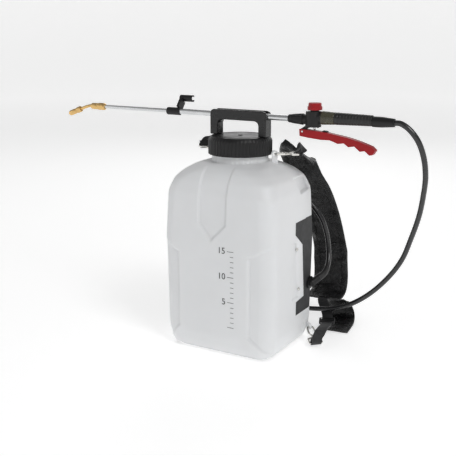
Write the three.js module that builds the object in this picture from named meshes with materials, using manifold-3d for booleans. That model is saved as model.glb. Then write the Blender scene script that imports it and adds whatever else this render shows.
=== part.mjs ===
// A 15 litre battery backpack sprayer: translucent tank with a screw cap and carry handle, a
// housing at the back for the pump and battery, padded shoulder straps and a telescopic lance
// that lies in the carry handle. Millimetres, +Z up, +Y towards the wearer, +X the pump side;
// the origin is the centre of the tank's foot.
import * as THREE from 'three';
import { mergeVertices } from 'three/addons/utils/BufferGeometryUtils.js';
import Module from 'manifold-3d';

const wasm = await Module();
wasm.setup();

// ---------------------------------------------------------------- driving dimensions
const CLEARANCE = 0.3;            // running gap between neighbouring pieces
const TANK_HALF_WIDTH = 134;      // at the waist
const TANK_HALF_DEPTH = 109;
const SHOULDER_HEIGHT = 405;      // where the shoulders meet the neck
const TANK_WALL = 3;
const FOOT_HEIGHT = 8;
const NECK_RADIUS = 60;
const NECK_WALL = 6;
const NECK_HEIGHT = 35;
const CAP_RADIUS = 68;
const CAP_HEIGHT = 38;
const CAP_WALL = 3.5;
const HOUSING_BOTTOM = 74;
const HOUSING_TOP = 284;
const HOUSING_DEPTH = 57;         // of the pocket for pump and battery behind the tank
const COVER_WALL = 3.5;
const BATTERY = { halfWidth: 44, depth: 46, height: 108, bottom: 97 };
const PUMP = { x: 86, halfWidth: 22, bottom: 115, height: 67, motorRadius: 19, motorHeight: 60 };
const OUTLET_HEIGHT = 133;        // of the hose outlet on the pump side
const HANDLE = { halfWidth: 67, halfDepth: 12.5, leg: 18, bar: 21, window: 32 };
const TUBE_RADIUS = 6;            // outer lance tube
const INNER_TUBE_RADIUS = 4.4;
const INNER_TUBE_LENGTH = 226;
const LEVER_WIDTH = 14;
const HOSE_RADIUS = 5.75;
const WEBBING = { width: 25, thickness: 2 };
const PAD = { width: 84, thickness: 13 };
const HOOK = { wire: 4, inner: 5.5, oval: 12, shank: 26, eyeLength: 15, eyeHalfWidth: 16 };
const LUG = { halfThickness: 2.5, hole: 4, rim: 3.5 };

// ---------------------------------------------------------------- derived places
const CAP_BOTTOM = SHOULDER_HEIGHT + 15;
const CAP_TOP = CAP_BOTTOM + CAP_HEIGHT;
const NECK_TOP = SHOULDER_HEIGHT + NECK_HEIGHT;
const NECK_BORE = NECK_RADIUS - NECK_WALL;
const NECK_SIDES = 26;
const POCKET_FRONT = TANK_HALF_DEPTH - HOUSING_DEPTH;
const HANDLE_FOOT = CAP_TOP + CLEARANCE;
const BAR_BOTTOM = HANDLE_FOOT + HANDLE.window;
const CHANNEL_HALF = TUBE_RADIUS + 0.6;
const CHANNEL_FLOOR = 3.4;
const LANCE_HEIGHT = BAR_BOTTOM + CHANNEL_FLOOR + TUBE_RADIUS + CLEARANCE;

// ---------------------------------------------------------------- materials
const paint = (color, roughness, metalness = 0, more = {}) =>
  new THREE.MeshStandardMaterial({ color, roughness, metalness, ...more });
const materials = {
  tank: paint('#e9eaea', 0.4, 0, { transparent: true, opacity: 0.85 }),
  housing: paint('#363738', 0.6),
  black: paint('#1d1d1e', 0.5),
  red: paint('#a81822', 0.4),
  brass: paint('#c39a45', 0.3, 1),
  steel: paint('#b9bcc0', 0.25, 1),
  nickel: paint('#c9c9c6', 0.25, 1),
  rubber: paint('#141414', 0.7),
  fabric: paint('#17171a', 0.75),
  collar: paint('#55564a', 0.45),
  board: paint('#1f5a36', 0.5),
  mesh: paint('#d9dcdc', 0.5),
};

// ---------------------------------------------------------------- building helpers
const part = new THREE.Group();
part.name = 'backpack_sprayer';
const wand = new THREE.Group();
wand.position.set(0, 0, LANCE_HEIGHT);
part.add(wand);

function add(name, geometry, material, parent = part) {
  const mesh = new THREE.Mesh(geometry.getMesh ? toGeometry(geometry) : geometry, material);
  mesh.name = name;
  parent.add(mesh);
  return mesh;
}

function toSolid(geometry) {
  const bare = geometry.clone();
  bare.deleteAttribute('normal');
  bare.deleteAttribute('uv');
  const merged = mergeVertices(bare, 1e-4);
  return new wasm.Manifold(new wasm.Mesh({
    numProp: 3,
    vertProperties: merged.attributes.position.array,
    triVerts: new Uint32Array(merged.index.array),
  }));
}

function toGeometry(solid) {
  const mesh = solid.getMesh();
  const geometry = new THREE.BufferGeometry();
  const xyz = new Float32Array(mesh.numVert * 3);
  for (let i = 0; i < mesh.numVert; i++) {
    for (let k = 0; k < 3; k++) xyz[3 * i + k] = mesh.vertProperties[i * mesh.numProp + k];
  }
  geometry.setAttribute('position', new THREE.BufferAttribute(xyz, 3));
  geometry.setIndex(Array.from(mesh.triVerts));
  geometry.computeVertexNormals();
  return geometry;
}

const join = (...solids) => solids.reduce((a, b) => a.add(b));
const cut = (solid, ...tools) => tools.reduce((a, b) => a.subtract(b), solid);

function box(x0, x1, y0, y1, z0, z1) {
  const shape = new THREE.BoxGeometry(x1 - x0, y1 - y0, z1 - z0);
  shape.translate((x0 + x1) / 2, (y0 + y1) / 2, (z0 + z1) / 2);
  return toSolid(shape);
}

// A solid of revolution about Z from a closed profile of [radius, height] points.
function turned(profile, sides = 24) {
  const points = [...profile, profile[0]].map(([r, z]) => new THREE.Vector2(r, z));
  const shape = new THREE.LatheGeometry(points, sides);
  shape.rotateX(Math.PI / 2);
  const solid = toSolid(shape);
  return solid.volume() < 0 ? toSolid(flipped(shape)) : solid;
}

function flipped(shape) {
  const index = Array.from(shape.index.array);
  for (let i = 0; i < index.length; i += 3) [index[i], index[i + 1]] = [index[i + 1], index[i]];
  shape.setIndex(index);
  return shape;
}

const disc = (radius, z0, z1, sides = 24) => turned([[0, z0], [radius, z0], [radius, z1], [0, z1]], sides);
const ring = (inner, outer, z0, z1, sides = 24) =>
  turned([[inner, z0], [outer, z0], [outer, z1], [inner, z1]], sides);

// Turns a solid made about Z so that its Z runs along the given direction from a given point.
function aimed(solid, from, direction) {
  const z = new THREE.Vector3(...direction).normalize();
  const turn = new THREE.Quaternion().setFromUnitVectors(new THREE.Vector3(0, 0, 1), z);
  const matrix = new THREE.Matrix4().compose(
    new THREE.Vector3(...from), turn, new THREE.Vector3(1, 1, 1));
  return solid.transform(matrix.toArray());
}
const alongX = (solid, y = 0, z = 0) => aimed(solid, [0, y, z], [1, 0, 0]);
const alongY = (solid, x = 0, z = 0) => aimed(solid, [x, 0, z], [0, 1, 0]);

// An outline of [a, b] points pulled along the third axis, between low and high.
function pulled(outline, low, high, plane = 'xz', holes = []) {
  const shape = new THREE.Shape(outline.map((p) => new THREE.Vector2(...p)));
  shape.holes = holes.map((h) => new THREE.Path(h.map((p) => new THREE.Vector2(...p))));
  const solid = new THREE.ExtrudeGeometry(shape, { depth: high - low, bevelEnabled: false });
  solid.translate(0, 0, low);
  if (plane === 'xz') {
    solid.applyMatrix4(new THREE.Matrix4().set(1, 0, 0, 0, 0, 0, -1, 0, 0, 1, 0, 0, 0, 0, 0, 1));
  }
  if (plane === 'yz') solid.applyMatrix4(new THREE.Matrix4().set(0, 0, 1, 0, 1, 0, 0, 0, 0, 1, 0, 0, 0, 0, 0, 1));
  return toSolid(solid);
}

// A closed skin over a list of rings with the same number of points each.
function skinned(rings) {
  const count = rings[0].length;
  const middle = (r) => r.reduce((s, p) => s.add(p), new THREE.Vector3()).divideScalar(count);
  const points = [...rings.flat(), middle(rings[0]), middle(rings[rings.length - 1])];
  const index = [];
  for (let i = 0; i + 1 < rings.length; i++) {
    for (let j = 0; j < count; j++) {
      const a = i * count + j;
      const b = i * count + ((j + 1) % count);
      index.push(a, b, b + count, a, b + count, a + count);
    }
  }
  const last = (rings.length - 1) * count;
  for (let j = 0; j < count; j++) {
    const k = (j + 1) % count;
    index.push(points.length - 2, k, j, points.length - 1, last + j, last + k);
  }
  const shape = new THREE.BufferGeometry().setFromPoints(points);
  shape.setIndex(index);
  const solid = toSolid(shape);
  return solid.volume() < 0 ? toSolid(flipped(shape)) : solid;
}

// A band of flat section along a smooth path. Each stop is [centre, width direction], and the
// section is a rectangle of the given width and thickness, with its edges cut back by bevel.
function band(stops, width, thickness, steps, bevel = 0) {
  const path = new THREE.CatmullRomCurve3(stops.map(([c]) => new THREE.Vector3(...c)), false, 'centripetal');
  const side = new THREE.CatmullRomCurve3(stops.map(([, w]) => new THREE.Vector3(...w)), false, 'centripetal');
  const [a, b] = [width / 2, thickness / 2];
  const corners = [[a, b], [-a, b], [-a, -b], [a, -b]];
  const section = bevel === 0 ? corners : corners.flatMap(([x, y], k) => {
    const flat = [x - Math.sign(x) * bevel, y];
    const upright = [x, y - Math.sign(y) * bevel];
    return k % 2 ? [flat, upright] : [upright, flat];
  });
  const rings = [];
  for (let i = 0; i <= steps; i++) {
    const t = i / steps;
    const along = path.getTangent(t);
    const across = side.getPoint(t);
    across.addScaledVector(along, -across.dot(along)).normalize();
    const up = new THREE.Vector3().crossVectors(along, across);
    rings.push(section.map(([x, y]) =>
      path.getPoint(t).addScaledVector(across, x).addScaledVector(up, y)));
  }
  return skinned(rings);
}

// A round tube along a smooth path, with a bore when inner is above zero.
function tube(points, outer, inner, steps, sides = 12) {
  const path = new THREE.CatmullRomCurve3(points.map((p) => new THREE.Vector3(...p)), false, 'centripetal');
  const circle = (r) => Array.from({ length: sides }, (_, i) => {
    const turn = (i / sides) * 2 * Math.PI;
    return new THREE.Vector2(r * Math.cos(turn), r * Math.sin(turn));
  });
  const shape = new THREE.Shape(circle(outer));
  if (inner > 0) shape.holes = [new THREE.Path(circle(inner))];
  return toSolid(new THREE.ExtrudeGeometry(shape, { steps, bevelEnabled: false, extrudePath: path }));
}

const mirrored = (solid) => solid.mirror([1, 0, 0]);

// ---------------------------------------------------------------- tank
const SUCTION = { outer: 6.5, bore: 4, height: 98 };
const SCREW = { shank: 2, head: 4, length: 10 };
const SCREW_PLACES = [[TANK_HALF_DEPTH - 102, HOUSING_TOP - 60], [TANK_HALF_DEPTH - 87, HOUSING_BOTTOM + 59]];
const sideScrews = [1, -1].flatMap((side) => SCREW_PLACES.map(([y, z]) => ({ side, y, z })));

// Outline of the tank at each height: [height, half width, half depth, corner radius]. The
// widths are set back from the waist's, so that a wider tank keeps its shoulders.
const PROFILE = [
  [FOOT_HEIGHT, -14, -12, 26],
  [FOOT_HEIGHT + 12, -8, -7, 29],
  [FOOT_HEIGHT + 36, -3, -1.5, 31],
  [SHOULDER_HEIGHT - 169, 0, 0, 32],
  [SHOULDER_HEIGHT - 60, -4, -3, 36],
  [SHOULDER_HEIGHT - 33, -13, -10, 42],
  [SHOULDER_HEIGHT - 17, -28, -20, 50],
  [SHOULDER_HEIGHT - 6, -46, -33, 56],
  [SHOULDER_HEIGHT, -66, -44, 60],
];

function outline(halfWidth, halfDepth, radius, z) {
  const points = [];
  const r = Math.min(radius, halfWidth - 0.5, halfDepth - 0.5);
  [[1, 1, 0], [-1, 1, 1], [-1, -1, 2], [1, -1, 3]].forEach(([sx, sy, quarter]) => {
    for (let i = 0; i <= 4; i++) {
      const turn = (quarter + i / 4) * Math.PI / 2;
      points.push(new THREE.Vector3(
        sx * (halfWidth - r) + r * Math.cos(turn), sy * (halfDepth - r) + r * Math.sin(turn), z));
    }
  });
  return points;
}

function tankForm(inset, top = 0) {
  return skinned(PROFILE.map(([z, dx, dy, radius], i) => outline(
    TANK_HALF_WIDTH + dx - inset, TANK_HALF_DEPTH + dy - inset, Math.max(radius - inset, 8),
    i === 0 ? z + inset : z - (i > 3 ? inset * top : 0))));
}

// Half width of the tank's side at a height, from the profile.
function sideAt(z) {
  const above = PROFILE.findIndex(([h]) => h >= z);
  const [h0, x0] = PROFILE[above - 1];
  const [h1, x1] = PROFILE[above];
  return TANK_HALF_WIDTH + x0 + (x1 - x0) * (z - h0) / (h1 - h0);
}

// The wing of the housing that wraps round onto each side of the tank: its corners as
// [depth, height, which way is out in depth, and in height].
const WING = [
  [TANK_HALF_DEPTH + 5, HOUSING_TOP, 0, 1],
  [TANK_HALF_DEPTH - 106, HOUSING_TOP - 2, -1, 1],
  [TANK_HALF_DEPTH - 108, HOUSING_TOP - 28, -1, -1],
  [TANK_HALF_DEPTH - 74, HOUSING_TOP - 55, -1, -1],
  [TANK_HALF_DEPTH - 59, HOUSING_BOTTOM + 35, -1, 1],
  [TANK_HALF_DEPTH - 97, HOUSING_BOTTOM + 31, -1, 1],
  [TANK_HALF_DEPTH - 96, HOUSING_BOTTOM, -1, -1],
  [TANK_HALF_DEPTH + 5, HOUSING_BOTTOM, 0, -1],
];
const WING_RECESS = COVER_WALL + 0.5;
const wide = TANK_HALF_WIDTH + 10;
const wingPrism = (grow) =>
  pulled(WING.map(([y, z, outY, outZ]) => [y + outY * grow, z + outZ * grow]), -wide, wide, 'yz');
const pocket = (grow) => box(-wide, wide, POCKET_FRONT - grow, TANK_HALF_DEPTH + 20,
  HOUSING_BOTTOM - grow, HOUSING_TOP + grow);

const skinBetween = (outer, inner) => tankForm(outer).subtract(tankForm(inner));

// A moulded lug: a flat plate round a hole, in the upright plane of a direction, with a root
// that runs from the hole to the tank as a rectangle [back, front, low, high].
function lug(hole, along, [back, front, low, high]) {
  const outer = LUG.hole + LUG.rim;
  const t = LUG.halfThickness;
  const plate = join(disc(outer, -t, t, 14), box(back, front, low, high, -t, t));
  return placed(cut(plate, disc(LUG.hole, -9, 9, 12)), hole, along, [0, 0, 1]);
}

// Places a flat piece whose local X runs along one direction and whose local Y is nearest up.
function placed(solid, origin, along, up) {
  const x = new THREE.Vector3(...along).normalize();
  const y = new THREE.Vector3(...up);
  y.addScaledVector(x, -y.dot(x)).normalize();
  const z = new THREE.Vector3().crossVectors(x, y);
  const matrix = new THREE.Matrix4().makeBasis(x, y, z).setPosition(...origin);
  return solid.transform(matrix.toArray());
}

const TOP_LUG = { hole: [74, 16, SHOULDER_HEIGHT + 17], along: [0.835, 0.55, 0] };
const BOTTOM_LUG = { hole: [TANK_HALF_WIDTH + 5, TANK_HALF_DEPTH - 39, 33], along: [0.62, -0.62, -0.48] };
const level = ([x, y]) => [x, y, 0];

function tankShell() {
  const neck = join(
    disc(NECK_RADIUS, SHOULDER_HEIGHT - 20, NECK_TOP, NECK_SIDES),
    disc(NECK_RADIUS + 2.6, SHOULDER_HEIGHT + 24, SHOULDER_HEIGHT + 27, NECK_SIDES),
  );
  const foot = skinned([0, FOOT_HEIGHT + 4].map((z) =>
    outline(TANK_HALF_WIDTH - 24, TANK_HALF_DEPTH - 20, 24, z)));
  const lugs = [
    lug(TOP_LUG.hole, level(TOP_LUG.along), [-6, 6, -22, 0]),
    lug(BOTTOM_LUG.hole, level(BOTTOM_LUG.along), [-22, 0, -7, 7]),
  ];
  const bosses = sideScrews.filter(({ side }) => side > 0).map(({ y, z }) =>
    alongX(disc(SCREW.shank + 3, sideAt(z) - SCREW.length - 4, sideAt(z) - 1, 10), y, z));
  const cavity = tankForm(TANK_WALL, 1).subtract(pocket(TANK_WALL)).subtract(
    wingPrism(TANK_WALL).subtract(tankForm(WING_RECESS + TANK_WALL)));
  const recess = wingPrism(0).subtract(tankForm(WING_RECESS));
  const neckBore = disc(NECK_BORE, SHOULDER_HEIGHT - 30, NECK_TOP + 1, NECK_SIDES);
  const hollow = cut(join(tankForm(0), neck, foot), cavity, neckBore, pocket(0), recess);
  const suctionHole = alongY(
    disc(SUCTION.outer + CLEARANCE, POCKET_FRONT - 12, POCKET_FRONT + 2, 16), PUMP.x, SUCTION.height);
  const screwHoles = sideScrews.filter(({ side }) => side > 0).map(({ y, z }) =>
    alongX(disc(SCREW.shank + CLEARANCE, sideAt(z) - SCREW.length - 1, sideAt(z) + 3, 10), y, z));
  return cut(join(hollow, ...lugs, ...lugs.map(mirrored), ...bosses, ...bosses.map(mirrored)),
    suctionHole, ...screwHoles, ...screwHoles.map(mirrored));
}

add('tank_shell', tankShell(), materials.tank);
sideScrews.forEach(({ side, y, z }, i) => {
  const head = sideAt(z) + CLEARANCE;
  const screw = alongX(join(disc(SCREW.head, head, head + 2, 10),
    disc(SCREW.shank, head - SCREW.length, head + 0.5, 8)), y, z);
  add(`side_screw_${i + 1}`, side > 0 ? screw : mirrored(screw), materials.nickel);
});


// ---------------------------------------------------------------- housing at the back
const bayHalf = BATTERY.halfWidth + 1.4;
const bayBottom = BATTERY.bottom - 1.4;
const bayTop = BATTERY.bottom + BATTERY.height + 1.4;
const BAY_WALL = 2;
const TRAY = { y: POCKET_FRONT + CLEARANCE, thickness: 3 };
const trayFace = TRAY.y + TRAY.thickness;
const GLAND = { y: TANK_HALF_DEPTH - 32, z: OUTLET_HEIGHT, body: 8.5, flange: 14, elbow: 8 };
const SWITCH = { y: TANK_HALF_DEPTH - 32, z: HOUSING_BOTTOM + 90, halfY: 8, halfZ: 12 };

function housingCover() {
  const region = join(wingPrism(-CLEARANCE), pocket(-CLEARANCE));
  const skin = region.intersect(skinBetween(0, COVER_WALL));
  const glandHole = alongX(disc(GLAND.body + CLEARANCE, TANK_HALF_WIDTH - 20, wide, 20), GLAND.y, GLAND.z);
  const switchHole = box(-wide, -TANK_HALF_WIDTH + 20, SWITCH.y - SWITCH.halfY - CLEARANCE,
    SWITCH.y + SWITCH.halfY + CLEARANCE, SWITCH.z - SWITCH.halfZ - CLEARANCE,
    SWITCH.z + SWITCH.halfZ + CLEARANCE);
  const batteryHole = box(-bayHalf, bayHalf, TANK_HALF_DEPTH - 20, TANK_HALF_DEPTH + 20,
    bayBottom, bayTop);
  return cut(skin, glandHole, switchHole, batteryHole);
}

function pumpTray() {
  const margin = 22;
  const plate = box(-TANK_HALF_WIDTH + margin, TANK_HALF_WIDTH - margin, TRAY.y, trayFace,
    HOUSING_BOTTOM + 2, HOUSING_TOP - 4);
  const bayBack = TANK_HALF_DEPTH - COVER_WALL - 1.5;
  const bay = box(-bayHalf - BAY_WALL, bayHalf + BAY_WALL, TRAY.y + 1, bayBack,
    bayBottom - BAY_WALL, bayTop + BAY_WALL);
  const room = box(-bayHalf, bayHalf, trayFace, bayBack + 1, bayBottom, bayTop);
  const suctionHole = alongY(
    disc(SUCTION.outer + CLEARANCE, TRAY.y - 2, trayFace + 2, 16), PUMP.x, SUCTION.height);
  return cut(join(plate, bay), room, suctionHole);
}

const pumpY = trayFace + CLEARANCE + PUMP.halfWidth;
const pumpTop = PUMP.bottom + PUMP.height;
const ROTOR = { shaft: 3, disc: 8, offset: 2, chamber: 11, depth: 20 };
const motorBottom = pumpTop + CLEARANCE;

function pumpHead() {
  const body = box(PUMP.x - PUMP.halfWidth, PUMP.x + PUMP.halfWidth, pumpY - PUMP.halfWidth,
    pumpY + PUMP.halfWidth, PUMP.bottom, pumpTop);
  const chamber = disc(ROTOR.chamber, pumpTop - ROTOR.depth - 4, pumpTop + 1, 16)
    .translate([PUMP.x, pumpY, 0]);
  return cut(body, chamber);
}

function pumpMotor() {
  const can = join(disc(PUMP.motorRadius, motorBottom, motorBottom + PUMP.motorHeight, 24),
    disc(6, motorBottom + PUMP.motorHeight - 1, motorBottom + PUMP.motorHeight + 4, 12));
  const bore = disc(ROTOR.shaft + CLEARANCE, motorBottom - 1, motorBottom + 22, 12);
  return cut(can, bore).translate([PUMP.x, pumpY, 0]);
}

function pumpRotor() {
  const top = pumpTop - 2;
  const shaft = disc(ROTOR.shaft, top - ROTOR.depth, motorBottom + 20, 12);
  const cam = disc(ROTOR.disc, top - ROTOR.depth + 2, top - 6, 16).translate([ROTOR.offset, 0, 0]);
  return join(shaft, cam).translate([PUMP.x, pumpY, 0]);
}

// From inside the tank through the pocket's wall, then up into the pump.
function suctionElbow() {
  const top = PUMP.bottom - CLEARANCE;
  const level1 = alongY(disc(SUCTION.outer, POCKET_FRONT - 14, pumpY + SUCTION.outer, 16), PUMP.x, SUCTION.height);
  const rise = disc(SUCTION.outer, SUCTION.height, top, 16).translate([PUMP.x, pumpY, 0]);
  const boreIn = alongY(disc(SUCTION.bore, POCKET_FRONT - 15, pumpY, 12), PUMP.x, SUCTION.height);
  const boreUp = disc(SUCTION.bore, SUCTION.height, top + 1, 12).translate([PUMP.x, pumpY, 0]);
  return cut(join(level1, rise), boreIn, boreUp);
}

const GLAND_AIM = [0.42, 0.8, 0.42];
const elbowStart = [sideAt(GLAND.z) + 7, GLAND.y, GLAND.z];
const ELBOW_LENGTH = 19;
const glandAim = new THREE.Vector3(...GLAND_AIM).normalize();
const elbowEnd = new THREE.Vector3(...elbowStart).addScaledVector(glandAim, ELBOW_LENGTH);

function hoseGland() {
  const side = sideAt(GLAND.z);
  const inner = PUMP.x + PUMP.halfWidth + CLEARANCE;
  const body = alongX(disc(GLAND.body, inner, side + 8, 14), GLAND.y, GLAND.z);
  const flange = alongX(disc(GLAND.flange, side + CLEARANCE, side + 4, 16), GLAND.y, GLAND.z);
  const elbow = aimed(disc(GLAND.elbow, -2, ELBOW_LENGTH, 12), elbowStart, GLAND_AIM);
  const knee = aimed(disc(GLAND.body, -1, 6, 12), [side + 4, GLAND.y, GLAND.z], [1, 0.6, 0.3]);
  const bore = aimed(disc(3, 2, ELBOW_LENGTH + 1, 10), elbowStart, GLAND_AIM);
  return cut(join(body, flange, elbow, knee), bore);
}

function controlBoard() {
  const x0 = -TANK_HALF_WIDTH + 24;
  const y0 = trayFace + CLEARANCE;
  const plate = box(x0, -bayHalf - 8, y0 + 6, y0 + 7.6, 120, 200);
  const posts = [[x0 + 5, 125], [x0 + 5, 195], [-bayHalf - 13, 125], [-bayHalf - 13, 195]].map(
    ([x, z]) => box(x - 2.5, x + 2.5, y0, y0 + 6.5, z - 2.5, z + 2.5));
  const chips = [box(x0 + 8, x0 + 24, y0 + 7, y0 + 14, 140, 165), box(x0 + 12, x0 + 30, y0 + 7, y0 + 11, 172, 186)];
  return join(plate, ...posts, ...chips);
}

const loomY = trayFace + 12;
add('housing_cover', housingCover(), materials.housing);
add('pump_tray', pumpTray(), materials.black);
add('pump_head', pumpHead(), materials.black);
add('pump_motor', pumpMotor(), materials.steel);
add('pump_rotor', pumpRotor(), materials.steel);
add('suction_elbow', suctionElbow(), materials.black);
add('hose_gland', hoseGland(), materials.rubber);
add('control_board', controlBoard(), materials.board);
add('wiring_loom', tube([
  [-bayHalf - 22, loomY - 4, 200.6], [-bayHalf - 20, loomY, 222], [-20, loomY, bayTop + 26],
  [PUMP.x - 40, loomY, bayTop + 42], [PUMP.x - 12, loomY + 4, motorBottom + PUMP.motorHeight + 18],
  [PUMP.x, pumpY, motorBottom + PUMP.motorHeight + 14],
  [PUMP.x, pumpY, motorBottom + PUMP.motorHeight + 4.6]], 2.5, 0, 16, 8), materials.red);

// Battery pack in its bay, with its latch button and the terminal block behind it.
const batteryBack = TANK_HALF_DEPTH - 0.6;
const batteryFront = batteryBack - BATTERY.depth;
const batteryTop = BATTERY.bottom + BATTERY.height;
const LATCH = { halfWidth: 12, height: 12, depth: 8, drop: 16 };

function batteryPack() {
  const body = box(-BATTERY.halfWidth, BATTERY.halfWidth, batteryFront, batteryBack,
    BATTERY.bottom, batteryTop);
  const slot = box(-LATCH.halfWidth - CLEARANCE, LATCH.halfWidth + CLEARANCE,
    batteryBack - LATCH.depth - 3, batteryBack + 1, batteryTop - LATCH.drop - LATCH.height,
    batteryTop - LATCH.drop);
  const grip = box(-22, 22, batteryBack - 7, batteryBack + 1, BATTERY.bottom + 12, BATTERY.bottom + 26);
  return cut(body, slot, grip);
}

add('battery_pack', batteryPack(), materials.housing);
add('battery_latch', box(-LATCH.halfWidth, LATCH.halfWidth, batteryBack - LATCH.depth,
  batteryBack - 0.5, batteryTop - LATCH.drop - LATCH.height + CLEARANCE,
  batteryTop - LATCH.drop - CLEARANCE), materials.red);
add('battery_terminal', box(-20, 20, trayFace + CLEARANCE, batteryFront - CLEARANCE,
  BATTERY.bottom + 6, BATTERY.bottom + 30), materials.black);

// Rocker switch in the wing on the other side from the hose.
const switchX = -sideAt(SWITCH.z);
const ROCKER = { halfY: 5, halfZ: 8.5, pivot: 4 };

function switchFrame() {
  const flange = box(switchX - 2, switchX - CLEARANCE, SWITCH.y - SWITCH.halfY - 2,
    SWITCH.y + SWITCH.halfY + 2, SWITCH.z - SWITCH.halfZ - 2, SWITCH.z + SWITCH.halfZ + 2);
  const body = box(switchX - 1, switchX + 16, SWITCH.y - SWITCH.halfY, SWITCH.y + SWITCH.halfY,
    SWITCH.z - SWITCH.halfZ, SWITCH.z + SWITCH.halfZ);
  const well = box(switchX - 3, switchX + 9, SWITCH.y - ROCKER.halfY - CLEARANCE,
    SWITCH.y + ROCKER.halfY + CLEARANCE, SWITCH.z - ROCKER.halfZ - 1, SWITCH.z + ROCKER.halfZ + 1);
  return cut(join(flange, body), well);
}

function powerRocker() {
  const [front, back] = [switchX - 3.5, switchX + ROCKER.pivot + 2];
  return pulled([
    [front, SWITCH.z + ROCKER.halfZ - 0.6], [front + 1.2, SWITCH.z], [front, SWITCH.z - ROCKER.halfZ + 0.6],
    [switchX + 1, SWITCH.z - ROCKER.halfZ], [back, SWITCH.z - 3], [back, SWITCH.z + 3],
    [switchX + 1, SWITCH.z + ROCKER.halfZ],
  ], -SWITCH.y - ROCKER.halfY, -SWITCH.y + ROCKER.halfY);
}

add('switch_frame', switchFrame(), materials.black);
add('power_rocker', powerRocker(), materials.red);

// ---------------------------------------------------------------- cap and filler
const STRAINER = { flange: 59, flangeThickness: 2, basket: NECK_BORE - 4, wall: 2, depth: 108 };
const strainerTop = NECK_TOP + CLEARANCE + STRAINER.flangeThickness;
const GASKET = { inner: 51, outer: 60, thickness: 3.4 };
const gasketTop = strainerTop + CLEARANCE + GASKET.thickness;
const CAP_CHAMFER = [6, 8];
const capUnder = CAP_TOP - 5;
const VENT_HOLE = 3;

function fillerStrainer() {
  const bottom = NECK_TOP - STRAINER.depth;
  const basket = STRAINER.basket;
  const low = basket - 6;
  return turned([
    [0, bottom], [low, bottom], [basket, NECK_TOP - 20], [basket, strainerTop - STRAINER.flangeThickness],
    [STRAINER.flange, strainerTop - STRAINER.flangeThickness], [STRAINER.flange, strainerTop],
    [basket - STRAINER.wall, strainerTop], [basket - STRAINER.wall, NECK_TOP - 20],
    [low - STRAINER.wall, bottom + STRAINER.wall], [0, bottom + STRAINER.wall],
  ], 20);
}

function fillerCap() {
  const inner = CAP_RADIUS - CAP_WALL;
  const rib = gasketTop + CLEARANCE;
  return turned([
    [VENT_HOLE, capUnder], [GASKET.inner, capUnder], [GASKET.inner, rib], [GASKET.outer, rib],
    [GASKET.outer, capUnder], [inner, capUnder], [inner, CAP_BOTTOM], [CAP_RADIUS, CAP_BOTTOM],
    [CAP_RADIUS, CAP_TOP - CAP_CHAMFER[1]], [CAP_RADIUS - CAP_CHAMFER[0], CAP_TOP], [VENT_HOLE, CAP_TOP],
  ], NECK_SIDES);
}

function ventValve() {
  return turned([
    [0, capUnder - 2], [9, capUnder - 2], [9, capUnder - CLEARANCE], [VENT_HOLE - 0.6, capUnder - CLEARANCE],
    [VENT_HOLE - 0.6, CAP_TOP + CLEARANCE], [5, CAP_TOP + CLEARANCE], [4, CAP_TOP + 1.5], [0, CAP_TOP + 1.5],
  ], 16);
}

function carryHandle() {
  const { halfWidth, halfDepth, leg, bar, window } = HANDLE;
  const top = BAR_BOTTOM + bar;
  const opening = halfWidth - leg;
  const rounded = (w, low, high, r) => [
    [-w, low], [w, low], [w, high - r], [w - 0.3 * r, high - 0.3 * r], [w - r, high],
    [-w + r, high], [-w + 0.3 * r, high - 0.3 * r], [-w, high - r]];
  const frame = pulled(rounded(halfWidth, HANDLE_FOOT, top, 8), -halfDepth, halfDepth);
  const gap = pulled(rounded(opening, HANDLE_FOOT - 1, BAR_BOTTOM, 9), -halfDepth - 1, halfDepth + 1);
  const channel = box(-halfWidth - 1, halfWidth + 1, -CHANNEL_HALF, CHANNEL_HALF,
    BAR_BOTTOM + CHANNEL_FLOOR, top + 1);
  return cut(frame, gap, channel);
}

add('filler_strainer', fillerStrainer(), materials.mesh);
add('cap_gasket', ring(GASKET.inner, GASKET.outer, strainerTop + CLEARANCE, gasketTop, NECK_SIDES), materials.rubber);
add('filler_cap', fillerCap(), materials.black);
add('carry_handle', carryHandle(), materials.black);
add('vent_valve', ventValve(), materials.rubber);

// ---------------------------------------------------------------- straps and snap hooks
// A hook hangs with its wire pulled up to the rim of its lug. Its own X runs from the lug to
// the webbing, and its flat side is level across.
const hookSlack = HOOK.inner - Math.sqrt(HOOK.inner ** 2 - LUG.halfThickness ** 2) + 2 * CLEARANCE;
const hookStart = LUG.hole - hookSlack + HOOK.inner;
const eyeStart = HOOK.shank;
const barCentre = eyeStart + HOOK.eyeLength - HOOK.wire / 2;
const GATE = { width: 3, swing: 0.9 };

const arc = (cx, cy, r, from, to, count) => Array.from({ length: count + 1 }, (_, i) => {
  const turn = (from + (to - from) * i / count) * Math.PI;
  return [cx + r * Math.cos(turn), cy + r * Math.sin(turn)];
});

function snapHook() {
  const { wire, inner, oval, shank, eyeLength, eyeHalfWidth } = HOOK;
  const outer = inner + wire;
  const outside = [...arc(0, 0, outer, 0.5, 1.5, 6), [oval, -outer], [oval + 5, -outer + 3],
    [shank - 3, -4], [shank, -eyeHalfWidth], [shank + eyeLength, -eyeHalfWidth],
    [shank + eyeLength, eyeHalfWidth], [shank, eyeHalfWidth], [shank - 3, 4], [oval + 5, outer - 3], [oval, outer]];
  const inside = [...arc(0, 0, inner, 0.5, 1.5, 8), ...arc(oval, 0, inner, 1.5, 2.5, 6)];
  const slot = [[shank + 3, -eyeHalfWidth + 3], [shank + eyeLength - wire, -eyeHalfWidth + 3],
    [shank + eyeLength - wire, eyeHalfWidth - 3], [shank + 3, eyeHalfWidth - 3]];
  const plate = pulled(outside, -wire / 2, wire / 2, 'xy', [inside, slot]);
  const mouth = box(-CLEARANCE, oval + 1 + GATE.swing, inner - 1, outer + 1, -wire, wire);
  return cut(plate, mouth);
}

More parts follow.
